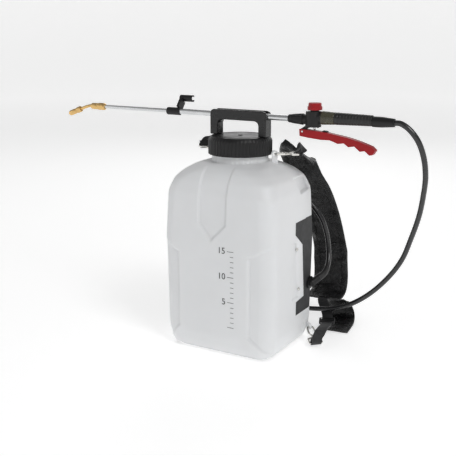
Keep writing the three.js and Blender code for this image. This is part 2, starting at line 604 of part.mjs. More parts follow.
function hookGate() {
  const { wire, inner, oval } = HOOK;
  return box(0, oval + 1, inner + 0.2, inner + 0.2 + GATE.width, -wire / 2, wire / 2);
}

const hookPlaced = (solid, { hole, along }) => {
  const x = new THREE.Vector3(...along).normalize();
  const across = new THREE.Vector3(0, 0, 1).cross(x).normalize();
  const origin = new THREE.Vector3(...hole).addScaledVector(x, hookStart);
  return placed(solid, origin.toArray(), along, across.toArray());
};

// Where the webbing's bar of a hook lies, and the hook's directions.
function hookBar({ hole, along }) {
  const x = new THREE.Vector3(...along).normalize();
  const across = new THREE.Vector3(0, 0, 1).cross(x).normalize();
  return { x, across, bar: new THREE.Vector3(...hole).addScaledVector(x, hookStart + barCentre) };
}

// The first stops of a webbing: a loop round a hook's bar, whose long leg leaves the hook in
// its own plane of length and thickness, by so much forward and so much up.
function loopStops({ x, across, bar }, forward, upward) {
  const turnRadius = HOOK.wire * Math.SQRT1_2 + CLEARANCE + WEBBING.thickness / 2;
  const out = new THREE.Vector3().crossVectors(x, across).multiplyScalar(upward);
  out.addScaledVector(x, forward).normalize();
  const side = new THREE.Vector3().crossVectors(across, out);
  const stop = (along, aside) => [bar.clone().addScaledVector(out, along * turnRadius)
    .addScaledVector(side, aside * turnRadius).toArray(), across.toArray()];
  return [stop(3, -1), stop(1.2, -1), stop(0, -1), stop(-0.71, -0.71), stop(-1, 0),
    stop(-0.71, 0.71), stop(0, 1), stop(1.5, 1.1)];
}

const fromTop = (x, y, z) => [TANK_HALF_WIDTH + x, TANK_HALF_DEPTH + y, SHOULDER_HEIGHT + z];
const fromFloor = (x, y, z) => [TANK_HALF_WIDTH + x, TANK_HALF_DEPTH + y, z];
const ACROSS = [1, 0, 0];
const PAD_STOPS = [
  [fromTop(-41, -16, 11), [0.85, -0.4, -0.3]], [fromTop(-53, 4, 5), [0.95, -0.15, -0.15]],
  [fromTop(-61, 24, -8), ACROSS], [fromTop(-56, 50, -46), ACROSS], [fromTop(-46, 79, -85), ACROSS],
  [fromTop(-41, 114, -138), ACROSS], [fromTop(-36, 136, -190), ACROSS], [fromFloor(-31, 150, 164), ACROSS],
  [fromFloor(-25, 141, 137), ACROSS], [fromFloor(-18, 128, 99), ACROSS], [fromFloor(-12, 104, 76), ACROSS],
  [fromFloor(-9, 68, 66), ACROSS],
];
const FLAP_STOPS = [
  [fromFloor(-8, 94, 59.8), ACROSS], [fromFloor(-4, 114, 51), ACROSS], [fromFloor(4, 132, 34), ACROSS],
  [fromFloor(12, 130, 12), ACROSS], [fromFloor(22, 106, 4), ACROSS], [fromFloor(30, 66, 3), ACROSS],
  [fromFloor(34, 36, 3), ACROSS],
];
const FLAP = { width: 62, thickness: 4 };

const topBar = hookBar(TOP_LUG);
const lowBar = hookBar(BOTTOM_LUG);

// The stop where a webbing is sewn to an end of the pad, just off its end face.
function sewnTo(end, next) {
  const away = new THREE.Vector3(...end[0]).sub(new THREE.Vector3(...next[0])).normalize();
  const at = new THREE.Vector3(...end[0]).addScaledVector(away, 2 * CLEARANCE);
  return [[at.clone().addScaledVector(away, 8).toArray(), end[1]], [at.toArray(), end[1]]];
}
const webbing = (stops, steps) => band(stops, WEBBING.width - 2, WEBBING.thickness, steps);
const upperWebbing = webbing([
  ...loopStops(topBar, 0.75, 0.66),
  [fromTop(-13, -61, 29), [0, 0.85, -0.53]], [fromTop(-13, -52, 36), [0.6, 0.3, -0.7]],
  [fromTop(-20, -40, 34), [0.7, -0.1, -0.6]], [fromTop(-28, -30, 24), [0.8, -0.25, -0.4]],
  ...sewnTo(PAD_STOPS[0], PAD_STOPS[1]),
], 36);
const TRI_GLIDE = { at: fromFloor(26, 9, 34), bar: 4, length: 18, gap: 5 };
const LOWER_STOPS = [
  [fromFloor(39, -72, 24), [0.7, 0.7, 0]], [fromFloor(42, -63, 35), [0.75, 0.65, 0]],
  [fromFloor(39, -42, 37), [0.85, 0.5, 0]], [fromFloor(33, -12, 34), [0.95, 0.25, 0]],
  [TRI_GLIDE.at, ACROSS], [fromFloor(16, 33, 40), ACROSS], [fromFloor(2, 50, 52), ACROSS],
];
const lowerWebbing = webbing([...loopStops(lowBar, 0, 1), ...LOWER_STOPS,
  ...sewnTo(PAD_STOPS.at(-1), PAD_STOPS.at(-2))], 36);

// A flat buckle frame that the lower webbing runs through.
function triGlide() {
  const { at, bar, length, gap } = TRI_GLIDE;
  const half = WEBBING.width / 2 + 1;
  const frame = cut(
    box(-half - bar, half + bar, -length / 2, length / 2, -gap / 2 - 1.6, gap / 2 + 1.6),
    box(-half, half, -length, length, -gap / 2, gap / 2),
    box(-half, half, 2, length / 2 - 3, -9, 9), box(-half, half, -length / 2 + 3, -2, -9, 9),
  );
  const [before, after] = [LOWER_STOPS[3][0], LOWER_STOPS[5][0]].map((p) => new THREE.Vector3(...p));
  const along = after.sub(before).normalize();
  const across = new THREE.Vector3(...ACROSS);
  across.addScaledVector(along, -across.dot(along)).normalize();
  const up = new THREE.Vector3().crossVectors(across, along);
  return frame.transform(new THREE.Matrix4().makeBasis(across, along, up).setPosition(...at).toArray());
}

const strapPieces = {
  strap_pad: [band(PAD_STOPS, PAD.width, PAD.thickness, 22, 4), materials.fabric],
  strap_flap: [band(FLAP_STOPS, FLAP.width, FLAP.thickness, 14), materials.fabric],
  upper_webbing: [upperWebbing, materials.fabric],
  lower_webbing: [lowerWebbing, materials.fabric],
  tri_glide: [triGlide(), materials.black],
  top_hook: [hookPlaced(snapHook(), TOP_LUG), materials.nickel],
  top_gate: [hookPlaced(hookGate(), TOP_LUG), materials.nickel],
  bottom_hook: [hookPlaced(snapHook(), BOTTOM_LUG), materials.nickel],
  bottom_gate: [hookPlaced(hookGate(), BOTTOM_LUG), materials.nickel],
};
for (const [name, [solid, material]] of Object.entries(strapPieces)) {
  add(`${name}_right`, solid, material);
  add(`${name}_left`, mirrored(solid), material);
}

// ---------------------------------------------------------------- lance and trigger valve
// Everything here is in the lance's own frame: its axis is the X axis.
const TUBE_FRONT = -178;
const LANCE_NUT = { front: 114, back: 146.7, small: 8.4, large: 11.5 };
const VALVE = { x: 168, radius: 16, bottom: -14, top: 17 };
const GRIP = { front: 188.3, collarEnd: 216, back: 293, rise: 5, radius: [14, 12.4, 10.8] };
const REAR_NUT = { back: 337, rise: 3.5, large: 10.5, small: 8.2 };
const PIVOT = { x: 147, z: -24, pin: 2, lug: 3.5 };
const PLUNGER = { x: 171, radius: 3, bottom: -20.2, top: -5 };
const KNOB = { x: 170.5, large: 15, small: 12.8, bottom: 20, top: 34, stem: 4 };
const spigot = TUBE_RADIUS + CLEARANCE;
const tubeBack = 128;

function lanceNut() {
  const { front, back, small, large } = LANCE_NUT;
  return alongX(turned([[spigot, front], [small, front], [small + 1.2, front + 10],
    [large, back - 8], [large, back], [spigot, back]], 16));
}

function valveBody() {
  const body = disc(VALVE.radius, VALVE.bottom, VALVE.top, 20).translate([VALVE.x, 0, 0]);
  const front = alongX(disc(TUBE_RADIUS, tubeBack + CLEARANCE, VALVE.x, 16));
  const shoulder = alongX(disc(10, LANCE_NUT.back + CLEARANCE, VALVE.x, 14));
  const back = alongX(disc(12.5, VALVE.x, GRIP.front - CLEARANCE, 14), 0, GRIP.rise);
  const neck = disc(9, VALVE.top - 1, KNOB.bottom - CLEARANCE, 14).translate([KNOB.x, 0, 0]);
  const pivotLug = pulled([[PIVOT.x - 5, PIVOT.z - 4], [PIVOT.x + 4, PIVOT.z - 5], [PIVOT.x + 6, PIVOT.z + 4],
    [VALVE.x - 4, VALVE.bottom + 1], [PIVOT.x + 5, VALVE.bottom + 6], [PIVOT.x + 4, VALVE.bottom + 1],
    [PIVOT.x - 5, PIVOT.z + 5]], -PIVOT.lug, PIVOT.lug);
  const tooth = pulled([[VALVE.x + 6, VALVE.bottom + 1], [VALVE.x + 11, VALVE.bottom - 2],
    [VALVE.x + 12, VALVE.bottom + 1]], -3, 3);
  const pinHole = alongY(disc(PIVOT.pin + CLEARANCE, -9, 9, 12), PIVOT.x, PIVOT.z);
  const plungerBore = disc(PLUNGER.radius + CLEARANCE, VALVE.bottom - 4, 1, 12).translate([PLUNGER.x, 0, 0]);
  const stemBore = disc(KNOB.stem + CLEARANCE, VALVE.top - 10, KNOB.top, 12).translate([KNOB.x, 0, 0]);
  const inlet = alongX(disc(4, tubeBack, VALVE.x, 12));
  return cut(join(body, front, shoulder, back, neck, pivotLug, tooth), pinHole, plungerBore, stemBore, inlet);
}

// Side view of the trigger lever: its top from the pivot back, then the finger waves below.
const LEVER_TOP = [[140, -18.9], [170.5, -20.8], [200, -23.4], [243, -30.2], [271, -37.1], [294.5, -45], [302.5, -52.2]];
const LEVER_WAVES = [[297, -60.8], [290.5, -61.9], [281, -54], [271, -56], [259, -46.6], [247, -48.8],
  [236.5, -42], [224.5, -44], [207, -38], [187.5, -38.4], [161, -36.1], [141, -33.5]];

function lever() {
  const half = LEVER_WIDTH / 2;
  const blade = pulled([...LEVER_TOP, ...LEVER_WAVES], -half, half);
  const fork = box(PIVOT.x - 20, PIVOT.x + 14, -PIVOT.lug - CLEARANCE, PIVOT.lug + CLEARANCE, -60, 0);
  const pinHole = alongY(disc(PIVOT.pin + CLEARANCE, -half - 1, half + 1, 12), PIVOT.x, PIVOT.z);
  return cut(blade, fork, pinHole);
}

function plunger() {
  const { radius, bottom, top } = PLUNGER;
  return turned([[0, bottom], [1.2, bottom], [radius, bottom + 2.4], [radius, top], [0, top]], 12)
    .translate([PLUNGER.x, 0, 0]);
}

function flowKnob() {
  const knob = disc(KNOB.large, KNOB.bottom, KNOB.bottom + 7, 10);
  const top = turned([[0, KNOB.bottom + 6], [KNOB.large - 1.4, KNOB.bottom + 6],
    [KNOB.small, KNOB.top], [0, KNOB.top]], 20);
  const stem = disc(KNOB.stem, VALVE.top - 8, KNOB.bottom + 1, 12);
  return join(knob, top, stem).translate([KNOB.x, 0, 0]);
}

const gripPart = (from, to, r0, r1) =>
  alongX(turned([[5, from], [r0, from], [r1, to], [5, to]], 20), 0, GRIP.rise);
const outerTube = alongX(ring(INNER_TUBE_RADIUS + CLEARANCE, TUBE_RADIUS, TUBE_FRONT, tubeBack, 16));

add('outer_tube', outerTube, materials.steel, wand);
add('lance_nut', lanceNut(), materials.black, wand);
add('valve_body', valveBody(), materials.black, wand);
add('grip_collar', gripPart(GRIP.front, GRIP.collarEnd - CLEARANCE, GRIP.radius[0], GRIP.radius[1]),
  materials.collar, wand);
add('grip_sleeve', gripPart(GRIP.collarEnd, GRIP.back, GRIP.radius[1], GRIP.radius[2]), materials.black, wand);
add('hose_nut', alongX(turned([[4, GRIP.back + CLEARANCE], [REAR_NUT.large, GRIP.back + CLEARANCE],
  [REAR_NUT.large, GRIP.back + 18], [REAR_NUT.small, REAR_NUT.back], [4, REAR_NUT.back]], 20), 0, REAR_NUT.rise),
materials.black, wand);
add('lever', lever(), materials.red, wand);
add('lever_pin', alongY(disc(PIVOT.pin, -LEVER_WIDTH / 2 - 1, LEVER_WIDTH / 2 + 1, 12), PIVOT.x, PIVOT.z),
  materials.steel, wand);
add('lever_latch', pulled([[189.5, -22.1], [200, -23.0], [200, -20.6], [191, -19.6], [189.5, -20.4]], -4, 4),
  materials.red, wand);
add('valve_plunger', plunger(), materials.steel, wand);
add('flow_knob', flowKnob(), materials.red, wand);

// Telescopic inner tube with its coupling, the bent nozzle tube and the nozzle.
const innerBack = TUBE_FRONT + 48;
const innerFront = innerBack - INNER_TUBE_LENGTH - 16;
const COUPLING = { length: 40, large: 8.3, small: 6 };
const couplingBack = innerFront + 14;
const couplingFront = couplingBack - COUPLING.length;
const NOZZLE_TUBE = { radius: 3.6, bore: 2, drop: 20 };
const nozzleTilt = NOZZLE_TUBE.drop * Math.PI / 180;
const NOZZLE_AIM = [-Math.cos(nozzleTilt), 0, -Math.sin(nozzleTilt)];
const bendPoint = [couplingFront - 10, 0, 0];
const reach = (d) => bendPoint.map((v, i) => v + d * NOZZLE_AIM[i]);

function couplingNut() {
  const { length, large, small } = COUPLING;
  const bore = INNER_TUBE_RADIUS + CLEARANCE;
  return alongX(turned([
    [bore, couplingFront], [small, couplingFront], [small + 1.4, couplingFront + 3],
    [small + 1.4, couplingFront + 0.42 * length], [small - 0.4, couplingFront + 0.46 * length],
    [large, couplingFront + 0.52 * length], [large, couplingBack - 4], [small, couplingBack], [bore, couplingBack],
  ], 14));
}

function nozzle() {
  const bore = NOZZLE_TUBE.radius + CLEARANCE;
  return aimed(turned([
    [bore, 0], [6, 0], [7.2, 2], [7.2, 12], [5, 15], [6.4, 19], [6.4, 34], [3.4, 39], [0.8, 39],
    [0.8, 33], [bore, 30],
  ], 12), reach(24), NOZZLE_AIM);
}

function tubeClip() {
  const lower = alongX(ring(spigot, TUBE_RADIUS + 2.4, -183, -151, 14));
  const upper = alongX(ring(5.4, 7.4, -163, -131, 14), 22, 27);
  const mouth = alongX(box(-5, 5, 4, 12, -164, -130), 22, 27);
  const arm = aimed(box(-3, 3, -9, 9, 7.6, 28.6), [-157, 0, 0], [0, 22, 27]);
  return cut(join(lower, upper, arm), mouth, alongX(disc(5.3, -164, -130, 14), 22, 27));
}

add('inner_tube', alongX(ring(3.2, INNER_TUBE_RADIUS, innerFront, innerBack, 16)), materials.steel, wand);
add('tube_clip', tubeClip(), materials.black, wand);
add('coupling_nut', couplingNut(), materials.brass, wand);
add('nozzle_tube', tube([[innerFront - 1, 0, 0], [couplingFront - 4, 0, 0], bendPoint, reach(6), reach(50)],
  NOZZLE_TUBE.radius, NOZZLE_TUBE.bore, 8, 10), materials.steel, wand);
add('nozzle', nozzle(), materials.brass, wand);

// ---------------------------------------------------------------- hose
// From the gland it loops once behind the tank, then swings out and up to the grip.
const hoseEnd = [REAR_NUT.back + 0.7, 0, LANCE_HEIGHT + REAR_NUT.rise];
const HOSE_ROUTE = [
  elbowEnd.clone().addScaledVector(glandAim, 0.6).toArray(),
  elbowEnd.clone().addScaledVector(glandAim, 16).toArray(),
  [155.5, 119.5, 158], [153, 133.5, 174.5], [148, 143, 197], [141, 147.5, 227], [128, 146, 262],
  [98, 142, 298], [50, 139, 320],
  [0, 138, 318], [-50, 139, 292], [-86, 141, 247], [-98, 143, 195], [-92, 145, 143], [-66, 146, 92],
  [-20, 146, 60], [40, 145, 48], [92, 144, 46], [130, 143, 50], [163, 142, 57], [209, 141, 77],
  [252, 140, 109], [294, 138, 155], [322, 132, 198], [345, 112, 250], [368, 85, 308],
  [382, 60, 356], [392, 34, 400], [392, 14, 441], [382, 5, 472], [364, 1, 494],
  [hoseEnd[0] + 10, hoseEnd[1], hoseEnd[2] - 0.4], hoseEnd,
];
add('hose', tube(HOSE_ROUTE, HOSE_RADIUS, 0, 60, 8), materials.rubber);

export default part;
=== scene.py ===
"""A battery backpack sprayer with its lance laid in the carry handle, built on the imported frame."""
import math

import bmesh
import bpy
import numpy as np
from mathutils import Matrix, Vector


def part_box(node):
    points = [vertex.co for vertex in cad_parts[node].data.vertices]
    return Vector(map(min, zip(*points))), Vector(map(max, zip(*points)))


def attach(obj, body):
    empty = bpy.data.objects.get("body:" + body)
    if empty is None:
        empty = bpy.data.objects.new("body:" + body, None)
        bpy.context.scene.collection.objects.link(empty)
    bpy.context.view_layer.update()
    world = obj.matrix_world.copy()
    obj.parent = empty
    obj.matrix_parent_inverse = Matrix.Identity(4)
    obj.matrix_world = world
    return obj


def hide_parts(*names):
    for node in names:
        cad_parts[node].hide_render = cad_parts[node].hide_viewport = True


bl_info = {
    "name": "Backpack Sprayer",
    "version": (1, 0, 0),
    "blender": (4, 5, 0),
    "location": "3D View > Sidebar > Sprayer",
    "description": "Builds a battery backpack sprayer: tank, cap, lance, hose and straps",
    "category": "Add Mesh",
}

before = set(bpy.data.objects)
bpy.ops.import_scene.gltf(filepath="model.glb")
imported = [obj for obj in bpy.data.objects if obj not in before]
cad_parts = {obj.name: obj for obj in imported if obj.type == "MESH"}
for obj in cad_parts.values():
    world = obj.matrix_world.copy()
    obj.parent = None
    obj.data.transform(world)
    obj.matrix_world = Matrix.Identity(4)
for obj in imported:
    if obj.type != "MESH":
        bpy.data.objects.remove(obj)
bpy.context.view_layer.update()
MM = 0.001
TUBE_LOW, TUBE_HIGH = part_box("outer_tube")
LANCE_Z = float(TUBE_LOW[2] + TUBE_HIGH[2]) / 2


# ------------------------------------------------------------------ sizes and colours
class TankSizes(bpy.types.PropertyGroup):
    """Sizes of the moulded tank that are only seen on its surface."""
    panel_depth: bpy.props.FloatProperty(
        name="Panel depth", description="How far the pressed panels lie below the front face",
        default=4.4 * MM, unit="LENGTH")
    panel_slope: bpy.props.FloatProperty(
        name="Panel slope", description="Width of the sloping edge round a pressed panel",
        default=7 * MM, unit="LENGTH")
    scale_height: bpy.props.FloatProperty(
        name="Scale height", description="Length of the printed litre scale",
        default=0.165, unit="LENGTH")


class CapSizes(bpy.types.PropertyGroup):
    """Sizes of the ribbed screw cap."""
    ribs: bpy.props.IntProperty(
        name="Grip ribs", description="Number of ribs round the skirt", default=54)
    rib_depth: bpy.props.FloatProperty(
        name="Rib depth", description="Depth of the grooves between the ribs",
        default=1.8 * MM, unit="LENGTH")


class StrapSizes(bpy.types.PropertyGroup):
    """Sizes of the padded straps."""
    seam_inset: bpy.props.FloatProperty(
        name="Seam inset", description="Distance of the long seams from the pad's edge",
        default=15 * MM, unit="LENGTH")
    wrinkle: bpy.props.FloatProperty(
        name="Wrinkle height", description="Height of the folds in the pad's cover",
        default=2.6 * MM, unit="LENGTH")


class SprayerColours(bpy.types.PropertyGroup):
    """Base colours of the finishes."""
    tank: bpy.props.FloatVectorProperty(
        name="Tank", description="Natural polyethylene", subtype="COLOR", size=3,
        default=(0.80, 0.81, 0.82))
    housing: bpy.props.FloatVectorProperty(
        name="Housing", description="Textured housing plastic", subtype="COLOR", size=3,
        default=(0.019, 0.0195, 0.0205))
    black: bpy.props.FloatVectorProperty(
        name="Black plastic", description="Cap, handle and grip", subtype="COLOR", size=3,
        default=(0.0075, 0.0075, 0.008))
    red: bpy.props.FloatVectorProperty(
        name="Red plastic", description="Trigger lever and knob", subtype="COLOR", size=3,
        default=(0.31, 0.004, 0.008))
    brass: bpy.props.FloatVectorProperty(
        name="Brass", description="Nozzle and coupling", subtype="COLOR", size=3,
        default=(0.74, 0.49, 0.20))
    fabric: bpy.props.FloatVectorProperty(
        name="Fabric", description="Coated nylon of the straps", subtype="COLOR", size=3,
        default=(0.0035, 0.0035, 0.004))


# ------------------------------------------------------------------ mesh tools
def grid_faces(rows, columns, wrap_rows=False, wrap_columns=False):
    """Quads between neighbouring points of a grid, numbered row by row."""
    i = np.arange(rows if wrap_rows else rows - 1)
    j = np.arange(columns if wrap_columns else columns - 1)
    i, j = (a.ravel() for a in np.meshgrid(i, j, indexing="ij"))
    ni, nj = (i + 1) % rows, (j + 1) % columns
    return np.stack([i * columns + j, i * columns + nj, ni * columns + nj, ni * columns + j], 1)


def fans(rows, columns, middle_first, middle_last):
    """Triangles that close the first and last ring of a tube to a middle point each."""
    j = np.arange(columns)
    nj = (j + 1) % columns
    last = (rows - 1) * columns
    first = np.stack([nj, j, np.full(columns, middle_first)], 1)
    end = np.stack([last + j, last + nj, np.full(columns, middle_last)], 1)
    return np.concatenate([first, end])


def linked(name, data):
    """A new object in the scene that shows a mesh, a curve, a lamp or a camera."""
    obj = bpy.data.objects.new(name, data)
    bpy.context.scene.collection.objects.link(obj)
    return obj


def evaluated_mesh(obj):
    """A new mesh of what an object shows once its modifiers are applied."""
    bpy.context.view_layer.update()
    return bpy.data.meshes.new_from_object(obj.evaluated_get(bpy.context.evaluated_depsgraph_get()))


def mesh_object(name, points, polygons, uv=None):
    """A new object from an array of points and lists of same-sided polygon arrays."""
    mesh = bpy.data.meshes.new(name)
    loops = np.concatenate([p.ravel() for p in polygons]).astype(np.int32)
    sizes = np.concatenate([np.full(len(p), p.shape[1]) for p in polygons]).astype(np.int32)
    starts = np.concatenate([[0], np.cumsum(sizes)[:-1]]).astype(np.int32)
    mesh.vertices.add(len(points))
    mesh.vertices.foreach_set("co", np.asarray(points, np.float32).ravel())
    mesh.loops.add(len(loops))
    mesh.loops.foreach_set("vertex_index", loops)
    mesh.polygons.add(len(sizes))
    mesh.polygons.foreach_set("loop_start", starts)
    if uv is not None:
        layer = mesh.uv_layers.new(name="UVMap")
        layer.data.foreach_set("uv", np.asarray(uv, np.float32)[loops].ravel())
    mesh.update(calc_edges=True)
    mesh.validate()
    return linked(name, mesh)


def outward(obj):
    """Turns a closed mesh's faces outwards if its signed volume is negative."""
    mesh = obj.data
    mesh.calc_loop_triangles()
    corners = np.empty(len(mesh.loop_triangles) * 3, np.int32)
    mesh.loop_triangles.foreach_get("vertices", corners)
    points = np.empty(len(mesh.vertices) * 3, np.float32)
    mesh.vertices.foreach_get("co", points)
    a, b, c = points.reshape(-1, 3)[corners.reshape(-1, 3)].transpose(1, 0, 2).astype(float)
    if np.einsum("ij,ij->i", a, np.cross(b, c)).sum() < 0:
        mesh.flip_normals()
    return obj


def smooth(obj, angle=35):
    """Smooth shading that stays sharp at edges over so many degrees."""
    obj.data.polygons.foreach_set("use_smooth", np.ones(len(obj.data.polygons), bool))
    obj.data.set_sharp_from_angle(angle=math.radians(angle))
    return obj


def aim(points, origin, direction):
    """Turns points made about Z so that Z runs along a direction, and moves them to origin."""
    z = np.array(direction, float) / np.linalg.norm(direction)
    side = np.array([0, 1.0, 0]) if abs(z[1]) < 0.9 else np.array([1.0, 0, 0])
    x = np.cross(side, z)
    x /= np.linalg.norm(x)
    return np.asarray(points) @ np.stack([x, np.cross(z, x), z]) + np.array(origin, float)


def rounded(profile, radius, steps=4):
    """A closed outline of [r, z] points with each corner turned as a short quadratic curve."""
    p = np.array(profile, float)
    before, after = np.roll(p, 1, 0), np.roll(p, -1, 0)
    length_in = np.linalg.norm(p - before, axis=1, keepdims=True)
    length_out = np.linalg.norm(after - p, axis=1, keepdims=True)
    start = p + (before - p) * np.minimum(radius / length_in, 0.45)
    end = p + (after - p) * np.minimum(radius / length_out, 0.45)
    t = np.linspace(0, 1, steps)[None, :, None]
    curve = (1 - t) ** 2 * start[:, None] + 2 * t * (1 - t) * p[:, None] + t ** 2 * end[:, None]
    return curve.reshape(-1, 2)


def turned(name, profile, origin=(0, 0, 0), direction=(0, 0, 1), segments=48, radius=0.4 * MM,
           shape=None):
    """A solid of revolution: the closed [radius, height] outline is rounded and carried round the
    axis; shape(radius, height, turn) may change the radius. Points on the axis merge."""
    outline = rounded(profile, radius)
    turn = np.linspace(0, 2 * np.pi, segments, endpoint=False)
    r, z, a = (np.broadcast_to(v, (len(outline), segments)) for v in
               (outline[:, :1], outline[:, 1:], turn[None]))
    r = shape(r, z, a) if shape else r
    r = np.maximum(r, 0)
    points = np.stack([r * np.cos(a), r * np.sin(a), z], -1).reshape(-1, 3)
    obj = mesh_object(name, aim(points, origin, direction),
                      [grid_faces(len(outline), segments, True, True)])
    merge(obj)
    return smooth(outward(obj))


def merge(obj, distance=1e-6):
    """Joins points that lie together and drops the faces that this leaves with no area."""
    bm = bmesh.new()
    bm.from_mesh(obj.data)
    bmesh.ops.remove_doubles(bm, verts=bm.verts, dist=distance)
    bmesh.ops.dissolve_degenerate(bm, edges=bm.edges, dist=distance)
    bm.to_mesh(obj.data)
    bm.free()
    return obj


def joined(name, *objects):
    """One object that holds the meshes of several."""
    bm = bmesh.new()
    for obj in objects:
        bm.from_mesh(obj.data)
    mesh = bpy.data.meshes.new(name)
    bm.to_mesh(mesh)
    bm.free()
    for obj in objects:
        bpy.data.objects.remove(obj)
    return smooth(linked(name, mesh))


def refined(name, node, bevel, segments=2, angle=30):
    """A copy of a CAD node with its triangles merged, flat faces joined and edges rounded."""
    bm = bmesh.new()
    bm.from_mesh(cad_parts[node].data)
    bmesh.ops.remove_doubles(bm, verts=bm.verts, dist=1e-6)
    bmesh.ops.dissolve_limit(bm, angle_limit=math.radians(1), verts=bm.verts, edges=bm.edges)
    mesh = bpy.data.meshes.new(name)
    bm.to_mesh(mesh)
    bm.free()
    obj = linked(name, mesh)
    rounding = obj.modifiers.new("Rounded edges", "BEVEL")
    rounding.width = bevel
    rounding.segments = segments
    rounding.limit_method = "ANGLE"
    rounding.angle_limit = math.radians(angle)
    rounding.use_clamp_overlap = True
    return smooth(obj, 40)


def combined(obj, others, operation):
    """An object with its union, intersection or difference with others, which are deleted."""
    for other in others:
        change = obj.modifiers.new("Combine", "BOOLEAN")
        change.object, change.operation, change.solver = other, operation, "MANIFOLD"
    mesh = evaluated_mesh(obj)
    obj.modifiers.clear()
    obj.data = mesh
    for other in others:
        bpy.data.objects.remove(other)
    return obj


def cut(obj, *cutters):
    """Takes the cutters' volumes out of an object."""
    return combined(obj, cutters, "DIFFERENCE")


def block(name, low, high):
    """A box between two corners."""
    corners = np.array([[x, y, z] for z in (0, 1) for y in (0, 1) for x in (0, 1)])
    points = np.array(low) + corners * (np.array(high) - np.array(low))
    faces = np.array([[0, 2, 3, 1], [4, 5, 7, 6], [0, 1, 5, 4], [2, 6, 7, 3], [0, 4, 6, 2], [1, 3, 7, 5]])
    return outward(mesh_object(name, points, [faces]))


def prism(name, outline, low, high, axis):
    """A flat outline of two coordinates, pulled along the third axis from low to high."""
    flat = np.array(outline, float)
    ends = [np.insert(flat, axis, value, axis=1) for value in (low, high)]
    n = len(flat)
    obj = mesh_object(name, np.concatenate(ends),
                      [grid_faces(2, n, wrap_columns=True), np.arange(n)[None, ::-1], n + np.arange(n)[None]])
    return outward(obj)


def through(stops, samples):
    """A smooth centripetal curve through points: each span is a cubic whose end slopes come
    from the neighbouring points, weighted by the root of their distances."""
    p = np.array(stops, float)
    p = np.concatenate([2 * p[:1] - p[1:2], p, 2 * p[-1:] - p[-2:-1]])
    step = np.sqrt(np.linalg.norm(np.diff(p, axis=0), axis=1))[:, None]
    step = np.maximum(step, 1e-4)
    u = np.linspace(0, len(stops) - 1, samples)
    k = np.minimum(u.astype(int), len(stops) - 2)
    t = (u - k)[:, None]
    a, b, c, d = p[k], p[k + 1], p[k + 2], p[k + 3]
    s0, s1, s2 = step[k], step[k + 1], step[k + 2]
    m1 = ((b - a) / s0 - (c - a) / (s0 + s1) + (c - b) / s1) * s1
    m2 = ((c - b) / s1 - (d - b) / (s1 + s2) + (d - c) / s2) * s1
    return (b * (2 * t ** 3 - 3 * t ** 2 + 1) + m1 * (t ** 3 - 2 * t ** 2 + t)
            + c * (3 * t ** 2 - 2 * t ** 3) + m2 * (t ** 3 - t ** 2))


def length_along(path):
    """Distance along a polyline to each of its points."""
    return np.concatenate([[0], np.cumsum(np.linalg.norm(np.diff(path, axis=0), axis=1))])


def evenly(points, samples):
    """The same polyline with points an equal distance apart."""
    distance = length_along(points)
    at = np.linspace(0, distance[-1], samples)
    return np.stack([np.interp(at, distance, points[:, k]) for k in range(points.shape[1])], 1)


def length_of(points):
    """Length of a polyline."""
    return float(np.linalg.norm(np.diff(points, axis=0), axis=1).sum())


def frames_along(points, across):
    """Unit vectors along, across and up at each point of a path, from a guide direction."""
    along = np.gradient(points, axis=0)
    along /= np.linalg.norm(along, axis=1, keepdims=True)
    across = across - along * np.einsum("ij,ij->i", across, along)[:, None]
    across /= np.linalg.norm(across, axis=1, keepdims=True)
    return along, across, np.cross(along, across)


def guided_path(stops, fineness, samples):
    """Evenly spaced points along a path's stops, with the guide direction at each. The guide is
    carried along as a tiny length, so that it hardly adds to the distance."""
    path, guide = (through([stop[k] for stop in stops], fineness * len(stops)) for k in (0, 1))
    both = evenly(np.concatenate([path, guide * 1e-6], 1), samples)
    return both[:, :3], both[:, 3:]


def banded(name, stops, width, thickness, samples, around=24, height=None, squareness=0.35):
    """A closed band: at each point of a smooth path lies a flat section whose outline is the
    superellipse cos^k, sin^k; height(s, a) adds to the half thickness, with s the distance along
    the path and a the place across it, both in metres. UV is that place in metres."""
    centre, guide = guided_path(stops, 40, samples)
    _, across, up = frames_along(centre, guide)
    s = np.linspace(0, length_of(centre), samples)[:, None]
    turn = np.linspace(0, 2 * np.pi, around, endpoint=False)[None]
    c, d = np.cos(turn), np.sin(turn)
    a = np.sign(c) * np.abs(c) ** squareness * width / 2
    lift = np.sign(d) * np.abs(d) ** squareness
    b = lift * (thickness / 2 + (height(s, a) if height else 0))
    a, b = (np.broadcast_to(v, (samples, around)) for v in (a, b))
    grid = centre[:, None] + across[:, None] * a[..., None] + up[:, None] * b[..., None]
    points = np.concatenate([grid.reshape(-1, 3), centre[:1], centre[-1:]])
    uv = np.concatenate([np.stack([a, np.broadcast_to(s, a.shape)], -1).reshape(-1, 2),
                         [[0, 0], [0, s[-1, 0]]]])
    count = samples * around
    obj = mesh_object(name, points, [grid_faces(samples, around, wrap_columns=True),
                                     fans(samples, around, count, count + 1)], uv)
    return smooth(outward(obj), 60)


def put(obj, body, nodes=(), finish=None):
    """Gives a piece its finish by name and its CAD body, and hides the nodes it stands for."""
    obj.data.materials.clear()
    obj.data.materials.append(FINISH[finish])
    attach(obj, body)
    if nodes:
        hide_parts(*([nodes] if isinstance(nodes, str) else nodes))
    return obj


def put_rounded(name, node, body, bevel, finish, segments=2, angle=30):
    """Shows a CAD node as a piece whose edges are rounded by a bevel, in millimetres."""
    return put(refined(name, node, bevel * MM, segments, angle), body, node, finish)


# ------------------------------------------------------------------ materials
NOISE_SPAN = (0.3, 0.7)      # where most of a noise's values lie


def new_material(name):
    """An empty node material with a Principled shader, its node tree and the shader."""
    material = bpy.data.materials.new(name)
    material.use_nodes = True
    tree = material.node_tree
    return material, tree, tree.nodes["Principled BSDF"]


